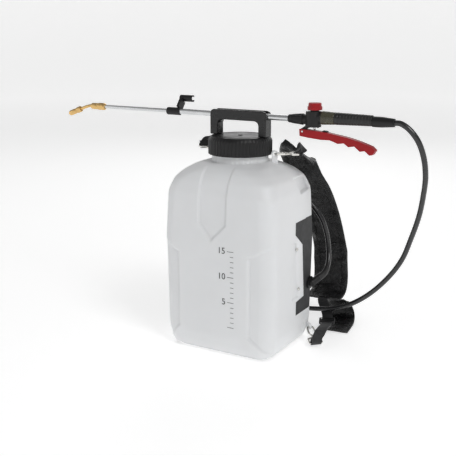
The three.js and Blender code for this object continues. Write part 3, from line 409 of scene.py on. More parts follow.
def set_inputs(node, **values):
    """A shader node with its named input sockets set; an underscore stands for a space."""
    for name, value in values.items():
        node.inputs[name.replace("_", " ")].default_value = value
    return node


def noise(tree, scale, detail=3, stretch=(1, 1, 1)):
    """A noise texture on the piece's own coordinates, whose scale is features per metre."""
    place = tree.nodes.new("ShaderNodeTexCoord")
    mapping = set_inputs(tree.nodes.new("ShaderNodeMapping"), Scale=stretch)
    texture = set_inputs(tree.nodes.new("ShaderNodeTexNoise"), Scale=scale, Detail=detail)
    tree.links.new(place.outputs["Object"], mapping.inputs["Vector"])
    tree.links.new(mapping.outputs["Vector"], texture.inputs["Vector"])
    return texture.outputs["Fac"]


def ranged(tree, value, low, high):
    """A noise, which stays mostly in its middle range, brought between two numbers."""
    span = {"From_Min": NOISE_SPAN[0], "From_Max": NOISE_SPAN[1], "To_Min": low, "To_Max": high}
    node = set_inputs(tree.nodes.new("ShaderNodeMapRange"), **span)
    tree.links.new(value, node.inputs["Value"])
    return node.outputs["Result"]


def tinted(tree, value, colour, change):
    """The colour, darker where the value is low and lighter where it is high."""
    ramp = tree.nodes.new("ShaderNodeValToRGB")
    for end, place, factor in zip(ramp.color_ramp.elements, NOISE_SPAN, (1 - change, 1 + change)):
        end.position = place
        end.color = (*[min(1, c * factor) for c in colour], 1)
    tree.links.new(value, ramp.inputs["Fac"])
    return ramp.outputs["Color"]


def bumped(tree, shader, heights):
    """Chains bumps: each entry is (height output, distance in metres, strength)."""
    normal = None
    for height, distance, strength in heights:
        node = set_inputs(tree.nodes.new("ShaderNodeBump"), Distance=distance, Strength=strength)
        tree.links.new(height, node.inputs["Height"])
        if normal:
            tree.links.new(normal, node.inputs["Normal"])
        normal = node.outputs["Normal"]
    tree.links.new(normal, shader.inputs["Normal"])


def moulded(name, colour, roughness, grain=900, grain_height=0.00006, change=0.1, **sockets):
    """Moulded plastic: a fine grain, a broad change of gloss and slight mottling."""
    material, tree, shader = new_material(name)
    broad = noise(tree, 14, 4)
    tree.links.new(tinted(tree, broad, colour, change), shader.inputs["Base Color"])
    tree.links.new(ranged(tree, noise(tree, 60, 5), roughness - 0.06, roughness + 0.08),
                   shader.inputs["Roughness"])
    set_inputs(shader, **sockets)
    bumped(tree, shader, [(noise(tree, grain, 2), grain_height, 0.5), (broad, 0.0004, 0.15)])
    return material


def metal(name, colour, roughness, stretch=(1, 1, 1), scale=500, change=0.06, height=0.00002):
    """Metal with fine drawn or turned lines along the direction that stretch makes long."""
    material, tree, shader = new_material(name)
    shader.inputs["Metallic"].default_value = 1
    lines = noise(tree, scale, 4, stretch=stretch)
    tree.links.new(tinted(tree, noise(tree, 40, 4), colour, change), shader.inputs["Base Color"])
    tree.links.new(ranged(tree, lines, roughness - 0.07, roughness + 0.1), shader.inputs["Roughness"])
    bumped(tree, shader, [(lines, height, 0.4)])
    return material


def woven(name, colour, pitch, roughness, sheen=0.25, ribbed=False, gloss=0.5, crease=0.1):
    """Woven cloth on the piece's own UV in metres: crossing waves as warp and weft, with a
    broad noise for wear. Ribbed webbing has its weft stronger than its warp."""
    material, tree, shader = new_material(name)
    place = tree.nodes.new("ShaderNodeTexCoord")
    waves = []
    for direction, strength in (("X", 1.0), ("Y", 1.6 if ribbed else 1.0)):
        closeness = 2 if ribbed and direction == "Y" else 3.14
        wave = set_inputs(tree.nodes.new("ShaderNodeTexWave"), Distortion=0.4, Detail=1,
                          Scale=1 / (pitch * 2 * math.pi) * closeness)
        wave.bands_direction = direction
        tree.links.new(place.outputs["UV"], wave.inputs["Vector"])
        waves.append((wave.outputs["Fac"], pitch * 0.2 * strength, 0.6))
    worn = noise(tree, 25, 5)
    tree.links.new(tinted(tree, worn, colour, 0.25), shader.inputs["Base Color"])
    tree.links.new(ranged(tree, noise(tree, 90, 4), roughness - 0.1, roughness + 0.1),
                   shader.inputs["Roughness"])
    set_inputs(shader, Sheen_Weight=sheen, Sheen_Roughness=0.4, Specular_IOR_Level=gloss)
    bumped(tree, shader, [*waves, (noise(tree, 260, 3), 0.00006, 0.3),
                          (noise(tree, 22, 1.5), 0.009 * crease, 0.7)])
    return material


def translucent(name, colour):
    """Natural polyethylene: light scatters under a softly uneven, faintly glossy skin."""
    material, tree, shader = new_material(name)
    broad = noise(tree, 9, 5)
    tree.links.new(tinted(tree, broad, colour, 0.02), shader.inputs["Base Color"])
    tree.links.new(ranged(tree, noise(tree, 30, 5), 0.36, 0.5), shader.inputs["Roughness"])
    set_inputs(shader, Subsurface_Weight=0.45, Subsurface_Radius=(1.0, 0.97, 0.93),
               Subsurface_Scale=0.012, IOR=1.5)
    bumped(tree, shader, [(noise(tree, 700, 2), 0.00005, 0.35), (noise(tree, 16, 3), 0.0012, 0.12)])
    return material


FINISH = {}


def make_finishes(colours):
    """Every finish of the sprayer, by a short name."""
    FINISH.update({
        "tank": translucent("natural polyethylene", colours.tank),
        "housing": moulded("housing grain", colours.housing, 0.5, 1300, 0.00012, Specular_IOR_Level=0.35),
        "black": moulded("black moulding", colours.black, 0.38, 1100, 0.00006, Specular_IOR_Level=0.35),
        "gloss black": moulded("polished black", colours.black, 0.24, 600, 0.00002),
        "red": moulded("red moulding", colours.red, 0.4, 800, 0.00004, 0.06, Specular_IOR_Level=0.3),
        "collar": moulded("smoked collar", (0.075, 0.072, 0.045), 0.22, 500, 0.00002, 0.1,
                          Transmission_Weight=0.35),
        "rubber": moulded("black rubber", (0.012, 0.012, 0.012), 0.33, 1500, 0.00004),
        "hose": moulded("hose rubber", (0.010, 0.010, 0.011), 0.22, 900, 0.00003, 0.1, Coat_Weight=0.3),
        "steel": metal("drawn stainless", (0.66, 0.67, 0.68), 0.22, (0.03, 1, 1), 900),
        "nickel": metal("nickel plate", (0.72, 0.71, 0.68), 0.2, (1, 1, 1), 200),
        "brass": metal("turned brass", colours.brass, 0.24, (1, 0.05, 0.05), 1500),
        "strainer": moulded("strainer mesh", (0.7, 0.73, 0.73), 0.5, 2500, 0.0005, 0.1),
        "board": moulded("circuit board", (0.012, 0.09, 0.035), 0.35, 700, 0.0001, 0.3),
        "motor": metal("motor can", (0.5, 0.51, 0.53), 0.32, (1, 1, 0.05), 500),
        "fabric": woven("coated nylon", colours.fabric, 0.0009, 0.26, 0.0, gloss=0.45, crease=1),
        "webbing": woven("ribbed webbing", (0.011, 0.011, 0.012), 0.0018, 0.62, 0.2, ribbed=True),
        "print": moulded("printed ink", (0.02, 0.02, 0.022), 0.4, 900, 0.00001),
        "floor": moulded("pale floor", (0.8, 0.8, 0.8), 0.7, 300, 0.00001, 0.004,
                         Emission_Color=(1, 1, 1, 1), Emission_Strength=0.5),
    })


# ------------------------------------------------------------------ tank and housing
# Sizes here are in millimetres, as in the CAD.
HALF_WIDTH, HALF_DEPTH = 134, 109
TANK_WALL, COVER_WALL = 3, 3.5
RECESS = 4                   # depth of the wings' recess in the tank's sides
GAP = 0.3                    # between the housing cover and the tank
BEYOND = 144                 # past the tank's sides, for cutters that go right across
NECK_RADIUS, NECK_BORE, NECK_TOP = 60, 54, 440
GLAND = {"y": 77, "z": 133, "hole": 8.8}
SWITCH_HOLE = ((-150, 68.7, 151.7), (-110, 85.3, 176.3))
BATTERY_HOLE = ((-45.4, 89, 95.6), (45.4, 129, 206.4))
LUG_REGIONS = (((62.5, 0, 400), (88.5, 32, 436)), ((126, 54, 17), (152, 86, 53)))
SCREW_PLACES = ((7, 224), (22, 133))
# Rings of the tank: height, change of half width, change of half depth, corner radius.
TANK_RINGS = [(8, -14, -12, 26), (20, -8, -7, 29), (44, -3, -1.5, 31), (236, 0, 0, 32), (345, -4, -3, 36),
              (372, -13, -10, 42), (388, -28, -20, 50), (399, -46, -33, 56), (405, -66, -44, 60)]
POCKET = (52, 74, 284)
WING = [(114, 284, 0, 1), (3, 282, -1, 1), (1, 256, -1, -1), (35, 229, -1, -1), (50, 109, -1, 1),
        (12, 105, -1, 1), (13, 74, -1, -1), (114, 74, 0, -1)]
# Pressed panels, as corners counterclockwise: of the front in x and z, of the sides in y and z.
FRONT_PANELS = [
    [(-42, 285), (-10, 245), (28.5, 283), (32, 420), (-42, 420)],
    [(76.5, 50), (128, 8), (150, 8), (150, 262), (76.5, 227)],
    [(-150, 8), (-128, 8), (-86, 50), (-86, 220), (-150, 254)],
]
SIDE_PANELS = [[(-8, 112), (27, 112), (8, 242), (-13, 242)], [(30, 338), (74, 344), (74, 374), (12, 374)]]


def ring_columns(long_side, short_side, corner):
    """Places round a rounded rectangle: for each column the corner centre's signs and the turn
    of its normal. Along a straight side the centre slides and the turn stays."""
    parts = []
    for quarter, (sx, sy, ex, ey) in enumerate([(1, 1, -1, 1), (-1, 1, -1, -1), (-1, -1, 1, -1),
                                                (1, -1, 1, 1)]):
        turn = (quarter + np.linspace(0, 1, corner, endpoint=False)) * np.pi / 2
        parts.append(np.stack([np.full(corner, sx), np.full(corner, sy), turn], 1))
        count = long_side if quarter % 2 == 0 else short_side
        t = np.linspace(0, 1, count, endpoint=False)
        parts.append(np.stack([sx + (ex - sx) * t, sy + (ey - sy) * t,
                               np.full(count, (quarter + 1) * np.pi / 2)], 1))
    return np.concatenate(parts)


def ring_points(rings, columns, inset=0.0):
    """Points of rounded rectangles: corner centre plus the radius along the normal's turn. Rings
    hold height, half width, half depth and corner radius in metres."""
    z, width, depth, radius = (rings[:, k:k + 1] for k in range(4))
    sx, sy, turn = (columns[None, :, k] for k in range(3))
    width, depth, radius = width - inset, depth - inset, np.maximum(radius - inset, 8 * MM)
    radius = np.minimum(radius, np.minimum(width, depth))
    x = sx * (width - radius) + radius * np.cos(turn)
    y = sy * (depth - radius) + radius * np.sin(turn)
    return np.stack([x, y, np.broadcast_to(z, x.shape)], -1)


def tank_rings(samples):
    """The tank's rings at evenly spaced places, each averaged with its neighbours by a bell-shaped
    weight, so that the corners of the side view are rounded."""
    rings = np.array([(z, HALF_WIDTH + dx, HALF_DEPTH + dy, r) for z, dx, dy, r in TANK_RINGS]) * MM
    count, reach = 420, 13
    soft = evenly(rings, count)
    weights = np.hanning(2 * reach + 3)[1:-1, None]
    weights /= weights.sum()
    ends = [np.repeat(2 * soft[k][None], reach, 0) - soft[order] for k, order in
            ((0, slice(reach, 0, -1)), (-1, slice(-2, -reach - 2, -1)))]
    longer = np.concatenate([ends[0], soft, ends[1]])
    return evenly(sum(longer[k:k + count] * weights[k] for k in range(2 * reach + 1)), samples)


def inside(u, v, corners, slope):
    """How far into a convex polygon a point lies, from 0 outside to 1 past its sloping edge: the
    least distance to its sides over the slope, eased as 3t squared minus 2t cubed."""
    p = np.array(corners, float) * MM
    least = np.full(u.shape, 1.0)
    for (ax, ay), (bx, by) in zip(p, np.roll(p, -1, 0)):
        side = math.hypot(bx - ax, by - ay)
        least = np.minimum(least, ((bx - ax) * (v - ay) - (by - ay) * (u - ax)) / side)
    t = np.clip(least / slope, 0, 1)
    return t * t * (3 - 2 * t)


def closed_form(name, grid):
    """A solid from rings of points, its two ends closed to their middles."""
    rows, count = grid.shape[:2]
    points = np.concatenate([grid.reshape(-1, 3), grid[:1].mean(1), grid[-1:].mean(1)])
    obj = mesh_object(name, points, [grid_faces(rows, count, wrap_columns=True),
                                     fans(rows, count, rows * count, rows * count + 1)])
    return outward(merge(obj))


def tank_form(name, inset, sizes=None, rows=60, columns=(24, 18, 8), foot=False):
    """The tank's outside, set in by a distance; with sizes, its panels are pressed in too, each
    point moving along its normal by the panel's depth and by how squarely it faces the panel."""
    around = ring_columns(*columns)
    rings = tank_rings(rows)
    rings[:, 0] -= inset * MM * np.clip((rings[:, 0] - 0.33) / 0.05, 0, 1)
    grid = ring_points(rings, around, inset * MM)
    if sizes:
        turn = around[None, :, 2]
        normal = np.stack([np.cos(turn), np.sin(turn), np.zeros_like(turn)], -1)
        depth = np.zeros(grid.shape[:2])
        front = np.clip(-np.sin(turn) * 1.25 - 0.2, 0, 1)
        for panel in FRONT_PANELS:
            pressed = inside(grid[..., 0], grid[..., 2], panel, sizes.panel_slope)
            depth += front * sizes.panel_depth * pressed
        side = (np.abs(np.cos(turn)) > 0.98) * 1.0
        for panel, share in zip(SIDE_PANELS, (0.7, 1.5)):
            depth += side * share * sizes.panel_depth * inside(grid[..., 1], grid[..., 2], panel, 4 * MM)
        grid = grid - normal * depth[..., None]
    if foot:
        stand = np.array([(0, 108.5, 87.5, 23), (1.5, 110, 89, 24), (8, 110, 89, 24)]) * MM
        grid = np.concatenate([ring_points(stand, around), grid])
    return closed_form(name, grid)


def wing_prism(name, grow):
    """The outline of the housing's wings on the tank's side, grown outwards, right across."""
    return prism(name, [((y + oy * grow) * MM, (z + oz * grow) * MM) for y, z, oy, oz in WING],
                 -BEYOND * MM, BEYOND * MM, 0)


def pocket_block(name, grow):
    """The pocket for pump and battery behind the tank, grown outwards."""
    front, low, high = POCKET
    return block(name, np.array([-BEYOND, front - grow, low - grow]) * MM,
                 np.array([BEYOND, HALF_DEPTH + 20, high + grow]) * MM)


def node_copy(name, node):
    """A merged copy of a CAD node, to cut or to join."""
    obj = refined(name, node, 0.1 * MM)
    obj.modifiers.clear()
    return obj


def neck_profile(outer, inner, low):
    """The neck's outline with its thread ring and rounded lip."""
    ring = outer + 2.6
    return np.array([(inner, low), (outer, low), (outer, 427), (ring, 429), (ring, 432),
                     (outer, 434), (outer, NECK_TOP), (inner, NECK_TOP)]) * MM


class SPRAYER_OT_tank(bpy.types.Operator):
    """Moulds the tank: smooth rings with pressed panels, a neck with a thread, and the recess
    for the housing, all hollow."""
    bl_idname = "sprayer.tank"
    bl_label = "Tank"

    def execute(self, context):
        sizes = context.scene.sprayer_tank
        tank = tank_form("tank_moulding", 0, sizes, 210, (110, 54, 18), True)
        neck = turned("neck", neck_profile(NECK_RADIUS, NECK_RADIUS / 2, 384), segments=128)
        combined(tank, [neck], "UNION")
        cavity = tank_form("cavity", TANK_WALL, sizes, 120, (60, 30, 10))
        wings = cut(wing_prism("wings", TANK_WALL), tank_form("wall", RECESS + TANK_WALL))
        cut(cavity, pocket_block("pocket", TANK_WALL), wings)
        through_neck = [(0, 375), (NECK_BORE, 375), (NECK_BORE, NECK_TOP + 5), (0, NECK_TOP + 5)]
        bore = turned("bore", np.array(through_neck) * MM, segments=128)
        recess = cut(wing_prism("recess", 0), tank_form("recess floor", RECESS))
        cut(tank, cavity, bore, pocket_block("pocket", 0), recess)
        for side in (1, -1):
            for region in LUG_REGIONS:
                corners = np.array(region) * (side, 1, 1)
                around = block("lug region", corners.min(0) * MM, corners.max(0) * MM)
                lug = combined(node_copy("lug", "tank_shell"), [around], "INTERSECT")
                combined(tank, [lug], "UNION")
        put(smooth(tank, 32), "tank", "tank_shell", "tank")
        return {"FINISHED"}


class SPRAYER_OT_housing(bpy.types.Operator):
    """Makes the housing cover as a shell between two tank forms within the wing and pocket
    outlines, with its holes, and rounds the pieces set into it."""
    bl_idname = "sprayer.housing"
    bl_label = "Housing"

    def execute(self, context):
        cover = tank_form("cover_moulding", 0, None, 120, (60, 40, 14))
        outline = combined(wing_prism("wings", -GAP), [pocket_block("pocket", -GAP)], "UNION")
        combined(cover, [outline], "INTERSECT")
        hole = GLAND["hole"]
        gland = turned("gland hole", np.array([(0, 110), (hole, 110), (hole, 150), (0, 150)]) * MM,
                       (0, GLAND["y"] * MM, GLAND["z"] * MM), (1, 0, 0))
        cut(cover, tank_form("cover inside", COVER_WALL, None, 90, (40, 30, 12)), gland,
            block("switch hole", *np.array(SWITCH_HOLE) * MM),
            block("battery hole", *np.array(BATTERY_HOLE) * MM))
        put(smooth(cover, 32), "tank", "housing_cover", "housing")
        for node, body, bevel, finish in (
                ("battery_pack", "battery", 1.4, "black"),
                ("battery_latch", "battery_latch", 0.8, "gloss black"),
                ("switch_frame", "tank", 0.5, "black"), ("power_rocker", "power_rocker", 0.6, "gloss black"),
                ("hose_gland", "tank", 0.5, "black")):
            put_rounded(node + "_moulding", node, body, bevel, finish, 3)
        for side in (1, -1):
            for y, z in SCREW_PLACES:
                node = frame_screw(side, y * MM, z * MM)
                low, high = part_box(node)
                face = high[0] if side > 0 else low[0]
                seat = (face - side * 2.0 * MM, (low[1] + high[1]) / 2, (low[2] + high[2]) / 2)
                outline = [(0, -3), (2, -3), (2, -0.4), (4, -0.4), (4, 1.1), (3.2, 1.9), (1.7, 2.0),
                           (1.6, 0.9), (0, 0.9)]
                head = turned(node + "_head", np.array(outline) * MM, seat, (side, 0, 0), 32, 0.2 * MM)
                put(head, "tank", node, "nickel")
        return {"FINISHED"}


def frame_screw(side, y, z):
    """Name of the CAD screw nearest to a place on one side."""
    def away(node):
        low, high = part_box(node)
        x = (low[0] + high[0]) / 2
        return abs((low[1] + high[1]) / 2 - y) + abs((low[2] + high[2]) / 2 - z) + (x * side < 0)
    return min((f"side_screw_{k}" for k in range(1, 5)), key=away)


# ------------------------------------------------------------------ cap and handle
class SPRAYER_OT_cap(bpy.types.Operator):
    """Turns the screw cap with its grip ribs and rounds the carry handle."""
    bl_idname = "sprayer.cap"
    bl_label = "Cap and handle"

    def execute(self, context):
        sizes = context.scene.sprayer_cap

        def ribbed(radius, height, turn):
            wave = 0.5 - 0.5 * np.cos(sizes.ribs * turn)
            skirt = (radius > 66.2 * MM) * np.clip((452 * MM - height) / (3 * MM), 0, 1)
            skirt = skirt * np.clip((height - 421.5 * MM) / (1.5 * MM), 0, 1)
            return radius - sizes.rib_depth * skirt * wave ** 1.6

        outline = np.array([(64.5, 420), (68, 420), (68, 422), (68, 424), (68, 436), (68, 447.5),
                            (67.6, 450.3), (62.5, 457.2), (60.5, 458), (52, 458), (51, 457.2),
                            (49, 457.2), (48, 458), (3.2, 458), (3.2, 453), (64.5, 453)]) * MM
        cap = turned("cap_moulding", outline, segments=sizes.ribs * 8, radius=0.5 * MM, shape=ribbed)
        put(smooth(cap, 50), "cap", "filler_cap", "black")
        put_rounded("handle_moulding", "carry_handle", "cap", 1.3, "gloss black", 3)
        return {"FINISHED"}


# ------------------------------------------------------------------ straps
# In millimetres, for the right strap. A stop is a place and the direction across the strap there.
PAD_HALF = 42
HOOK_REACH = 8.3 + 39        # from a lug's hole to the bar of its snap hook
TOP_HOLE, TOP_AIM = (74, 16, 422), (0.835, 0.55, 0)
PAD_STOPS = [((93, 93, 416), (0.85, -0.4, -0.3)), ((81, 113, 410), (0.95, -0.15, -0.15)),
             *[(p, (1, 0, 0)) for p in ((73, 133, 397), (78, 159, 359), (88, 188, 320), (93, 223, 267),
                                        (98, 245, 215), (103, 259, 164), (109, 250, 137), (116, 237, 99),
                                        (122, 213, 76), (125, 177, 66))]]
FLAP_STOPS = [(p, (1, 0, 0)) for p in ((126, 203, 59.8), (130, 223, 51), (138, 241, 34), (146, 239, 12),
                                       (156, 215, 4), (164, 175, 3), (168, 145, 3))]


def sided(stops, side):
    """Stops in metres for the right strap (side 1) or mirrored for the left (side -1)."""
    return [(np.array(p) * (side * MM, MM, MM), np.array(w) * (1, side, side)) for p, w in stops]


def quilting(sizes, side, length):
    """Height added to a pad's half thickness: the cover dips along two long seams as a bell
    curve, crowns between them, is drawn into short folds that run in from the seams as sine
    waves with wandering phase, and has a cross seam in its lower half."""
    def height(s, a):
        inset = PAD_HALF * MM - sizes.seam_inset
        seam = np.exp(-((np.abs(a) - inset) / (1.5 * MM)) ** 2)
        crown = 1.2 * MM * np.cos(a / inset * np.pi / 2) * (np.abs(a) < inset)
        drift = 2.6 * np.sin(s * 31 + side) + 1.9 * np.sin(s * 71 + 2 * side)
        near = np.exp(-((np.abs(a) - inset) / (12 * MM)) ** 2)
        patch = 0.55 + 0.45 * np.sin(s * 44 + np.sign(a) * 2 + 3 * side)
        fold = patch * np.sin(s * 2 * np.pi / (24 * MM) + drift + np.sign(a) * 1.3 + a * 60)
        broad = np.sin(s * 2 * np.pi / (61 * MM) + a * 55 + drift * 0.7) + 0.7 * np.sin(s * 150 - a * 120)
        cross = np.exp(-((s - 0.66 * length) / (1.6 * MM)) ** 2)
        ends = np.clip(np.minimum(s, length - s) / (14 * MM), 0.25, 1)
        puff = crown + sizes.wrinkle * (0.75 * near * fold + 0.5 * broad) - 1.9 * MM * seam - 2.2 * MM * cross
        return (puff - 1.4 * MM) * ends - 3.2 * MM * (1 - ends)
    return height


def webbing_from(name, node, side, stops, samples):
    """Flat webbing along the same stops as its CAD node."""
    band = banded(name, sided(stops, side), 22.4 * MM, 1.7 * MM, samples, 16, squareness=0.12)
    return put(band, "tank", node, "webbing")


def loop_stops(bar, x, forward, upward):
    """A loop round a hook's bar: places on a circle round it, leaving along the hook's own
    direction turned up by the two given shares."""
    bar, x = np.array(bar, float), np.array(x, float) / np.linalg.norm(x)
    across = np.cross([0, 0, 1.0], x)
    across /= np.linalg.norm(across)
    out = np.cross(x, across) * upward + x * forward
    out /= np.linalg.norm(out)
    aside = np.cross(across, out)
    reach = 4 * math.sqrt(0.5) + 0.3 + 1
    places = [(3, -1), (1.2, -1), (0, -1), (-0.71, -0.71), (-1, 0), (-0.71, 0.71), (0, 1), (1.5, 1.1)]
    return [(tuple(bar + (out * f + aside * s) * reach), tuple(across)) for f, s in places]


def hook_bar(hole, x):
    """Middle of a snap hook's webbing bar, from its lug's hole and its direction."""
    return np.array(hole) + np.array(x) / np.linalg.norm(x) * HOOK_REACH


def sewn_to(end, following):
    """Two stops just off the end face of a pad, where its webbing is sewn on."""
    away = np.array(end[0], float) - np.array(following[0], float)
    away /= np.linalg.norm(away)
    at = np.array(end[0]) + away * 0.6
    return [(tuple(at + away * 8), end[1]), (tuple(at), end[1])]


class SPRAYER_OT_straps(bpy.types.Operator):
    """Makes the two padded shoulder straps, their flaps, webbing, hooks and buckles."""
    bl_idname = "sprayer.straps"
    bl_label = "Straps"

    def execute(self, context):
        sizes = context.scene.sprayer_strap
        upper = [*loop_stops(hook_bar(TOP_HOLE, TOP_AIM), TOP_AIM, 0.75, 0.66),
                 ((120, 50, 430), (0, 0.85, -0.53)), ((119, 60, 434), (0.6, 0.3, -0.7)),
                 ((111, 72, 433), (0.7, -0.1, -0.6)), ((103, 81, 427), (0.8, -0.25, -0.4)),
                 *sewn_to(PAD_STOPS[0], PAD_STOPS[1])]
        for side, word in ((1, "right"), (-1, "left")):
            stops = sided(PAD_STOPS, side)
            length = length_of(through([s[0] for s in stops], 400))
            pad = banded(f"pad_{word}", stops, (2 * PAD_HALF - 1.5) * MM, 11.5 * MM, 380, 96,
                         quilting(sizes, side, length), 0.42)
            put(pad, "tank", f"strap_pad_{word}", "fabric")
            piping = [band_edge(f"piping_{word}_{k}", stops, k * (PAD_HALF - 0.8) * MM) for k in (-1, 1)]
            put(joined(f"piping_{word}", *piping), "tank", finish="fabric")
            flap = banded(f"flap_{word}", sided(FLAP_STOPS, side), 61 * MM, 3.2 * MM, 120, 48,
                          lambda s, a: 0.35 * MM * (np.sin(s * 260 + a * 60) + np.sin(s * 97 - a * 130))
                          - 0.7 * MM * np.exp(-((np.abs(a) - 25 * MM) / (1.2 * MM)) ** 2), 0.2)
            put(flap, "tank", f"strap_flap_{word}", "fabric")
            webbing_from(f"webbing_top_{word}", f"upper_webbing_{word}", side, upper, 150)
            put_rounded(f"webbing_low_{word}", f"lower_webbing_{word}", "tank", 0.3, "webbing")
            for place in ("top", "bottom"):
                hook, gate = (f"{place}_{kind}_{word}" for kind in ("hook", "gate"))
                put_rounded(f"snap_{place}_{word}", hook, "tank", 0.7, "nickel", 3)
                put_rounded(f"snap_gate_{place}_{word}", gate, gate, 0.6, "nickel")
            put_rounded(f"buckle_{word}", f"tri_glide_{word}", "tank", 0.6, "black")
        return {"FINISHED"}


def band_edge(name, stops, offset):
    """Piping: a round cord along a band's edge, at an offset across from its middle."""
    centre, guide = (rows[6:-6] for rows in guided_path(stops, 60, 240))
    _, across, _ = frames_along(centre, guide)
    return pipe(name, centre + across * offset, 1.5 * MM, 10)


def pipe(name, path, radius, sides):
    """A closed round tube along a path: circles of the given radius, a number or one for each
    point, square to the path and carried along without twist."""
    path = np.asarray(path, float)
    along = np.gradient(path, axis=0)
    along /= np.linalg.norm(along, axis=1, keepdims=True)
    guide = np.array([0.31, 0.17, 0.94])
    guide = guide if abs(along[0] @ guide) < 0.95 else np.array([0.9, 0.3, 0.1])
    across = np.empty_like(path)
    for k, direction in enumerate(along):
        guide = guide - direction * (guide @ direction)
        guide /= np.linalg.norm(guide)
        across[k] = guide
    up = np.cross(along, across)
    turn = np.linspace(0, 2 * np.pi, sides, endpoint=False)
    r = np.broadcast_to(radius, len(path))[:, None, None]
    grid = path[:, None] + r * (across[:, None] * np.cos(turn)[None, :, None]
                                + up[:, None] * np.sin(turn)[None, :, None])
    return smooth(closed_form(name, grid), 60)


# ------------------------------------------------------------------ hose
GLAND_AIM = np.array([0.42, 0.8, 0.42]) / np.linalg.norm([0.42, 0.8, 0.42])
ELBOW_END = np.array([139.39, 77, 133]) + 19 * GLAND_AIM
HOSE_END = np.array([337.7, 0, 503.5])
HOSE_ROUTE = np.array([
    ELBOW_END + 0.6 * GLAND_AIM, ELBOW_END + 16 * GLAND_AIM,
    (155.5, 119.5, 158), (153, 133.5, 174.5), (148, 143, 197), (141, 147.5, 227), (128, 146, 262),
    (98, 142, 298), (50, 139, 320), (0, 138, 318), (-50, 139, 292), (-86, 141, 247), (-98, 143, 195),
    (-92, 145, 143), (-66, 146, 92), (-20, 146, 60), (40, 145, 48), (92, 144, 46), (130, 143, 50),
    (163, 142, 57), (209, 141, 77), (252, 140, 109), (294, 138, 155), (322, 132, 198), (345, 112, 250),
    (368, 85, 308), (382, 60, 356), (392, 34, 400), (392, 14, 441), (382, 5, 472), (364, 1, 494),
    (347.7, 0, 503.1), HOSE_END]) * MM


class SPRAYER_OT_hose(bpy.types.Operator):
    """Lays the hose along its route as a curve and adds its tapered bend relief."""
    bl_idname = "sprayer.hose"
    bl_label = "Hose"

    def execute(self, context):
        path = evenly(through(HOSE_ROUTE, 4000), 500)
        curve = bpy.data.curves.new("hose_line", "CURVE")
        curve.dimensions = "3D"
        curve.bevel_depth = 5.6 * MM
        curve.bevel_resolution = 6
        curve.use_fill_caps = True
        spline = curve.splines.new("POLY")
        spline.points.add(len(path) - 1)
        spline.points.foreach_set("co", np.concatenate([path, np.ones((len(path), 1))], 1).ravel())
        spline.use_smooth = True
        hose = linked("hose_line", curve)
        put(hose, "tank", "hose", "hose")
        near = path[length_along(path) < 34 * MM]
        t = np.linspace(0, 1, 120)
        sleeve = evenly(near, 120)
        radius = (8.0 - 1.6 * t - 0.35 * (np.cos(t * 2 * np.pi * 9) < -0.2)) * MM
        relief = pipe("bend_relief", sleeve, radius, 28)
        put(relief, "tank", finish="rubber")
        return {"FINISHED"}


# ------------------------------------------------------------------ lance, grip and valve
def along_lance(name, outline, segments=48, rise=0.0, shape=None, radius=0.4):
    """A turned piece on the lance's axis, or so far above it: its outline is [radius, x]."""
    return turned(name, np.array(outline, float) * MM, (0, 0, LANCE_Z + rise * MM), (1, 0, 0),
                  segments, radius * MM, shape)


def fluted(count, depth, low, high, power=1.0):
    """A change of radius: so many shallow flutes between two places along the axis."""
    def shape(radius, height, turn):
        span = (height > low * MM) * (height < high * MM) * (radius > 0.6 * radius.max())
        return radius - depth * MM * span * (0.5 - 0.5 * np.cos(count * turn)) ** power
    return shape


GRIP_RISE = 5                # of the grip's middle over the lance's


class SPRAYER_OT_lance(bpy.types.Operator):
    """Makes the telescopic lance, its clip, coupling and brass nozzle."""
    bl_idname = "sprayer.lance"
    bl_label = "Lance"

    def execute(self, context):
        put(along_lance("lance_outer", [(4.7, -178), (6, -178), (6, 0), (6, 128), (4.7, 128)]), "wand",
            "outer_tube", "steel")
        front, back = (corner[0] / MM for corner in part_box("inner_tube"))
        inner = [(3.4, front), (4.4, front), (4.4, -250), (4.4, back), (3.4, back)]
        put(along_lance("lance_inner", inner), "inner_lance", "inner_tube", "steel")
        put_rounded("coupling_metal", "coupling_nut", "coupling_nut", 0.35, "brass")
        put_rounded("nozzle_tube_metal", "nozzle_tube", "nozzle_tube", 0.2, "brass", 2, 50)
        put_rounded("nozzle_metal", "nozzle", "nozzle", 0.3, "brass")
        put_rounded("clip_moulding", "tube_clip", "tube_clip", 0.4, "black")
        return {"FINISHED"}


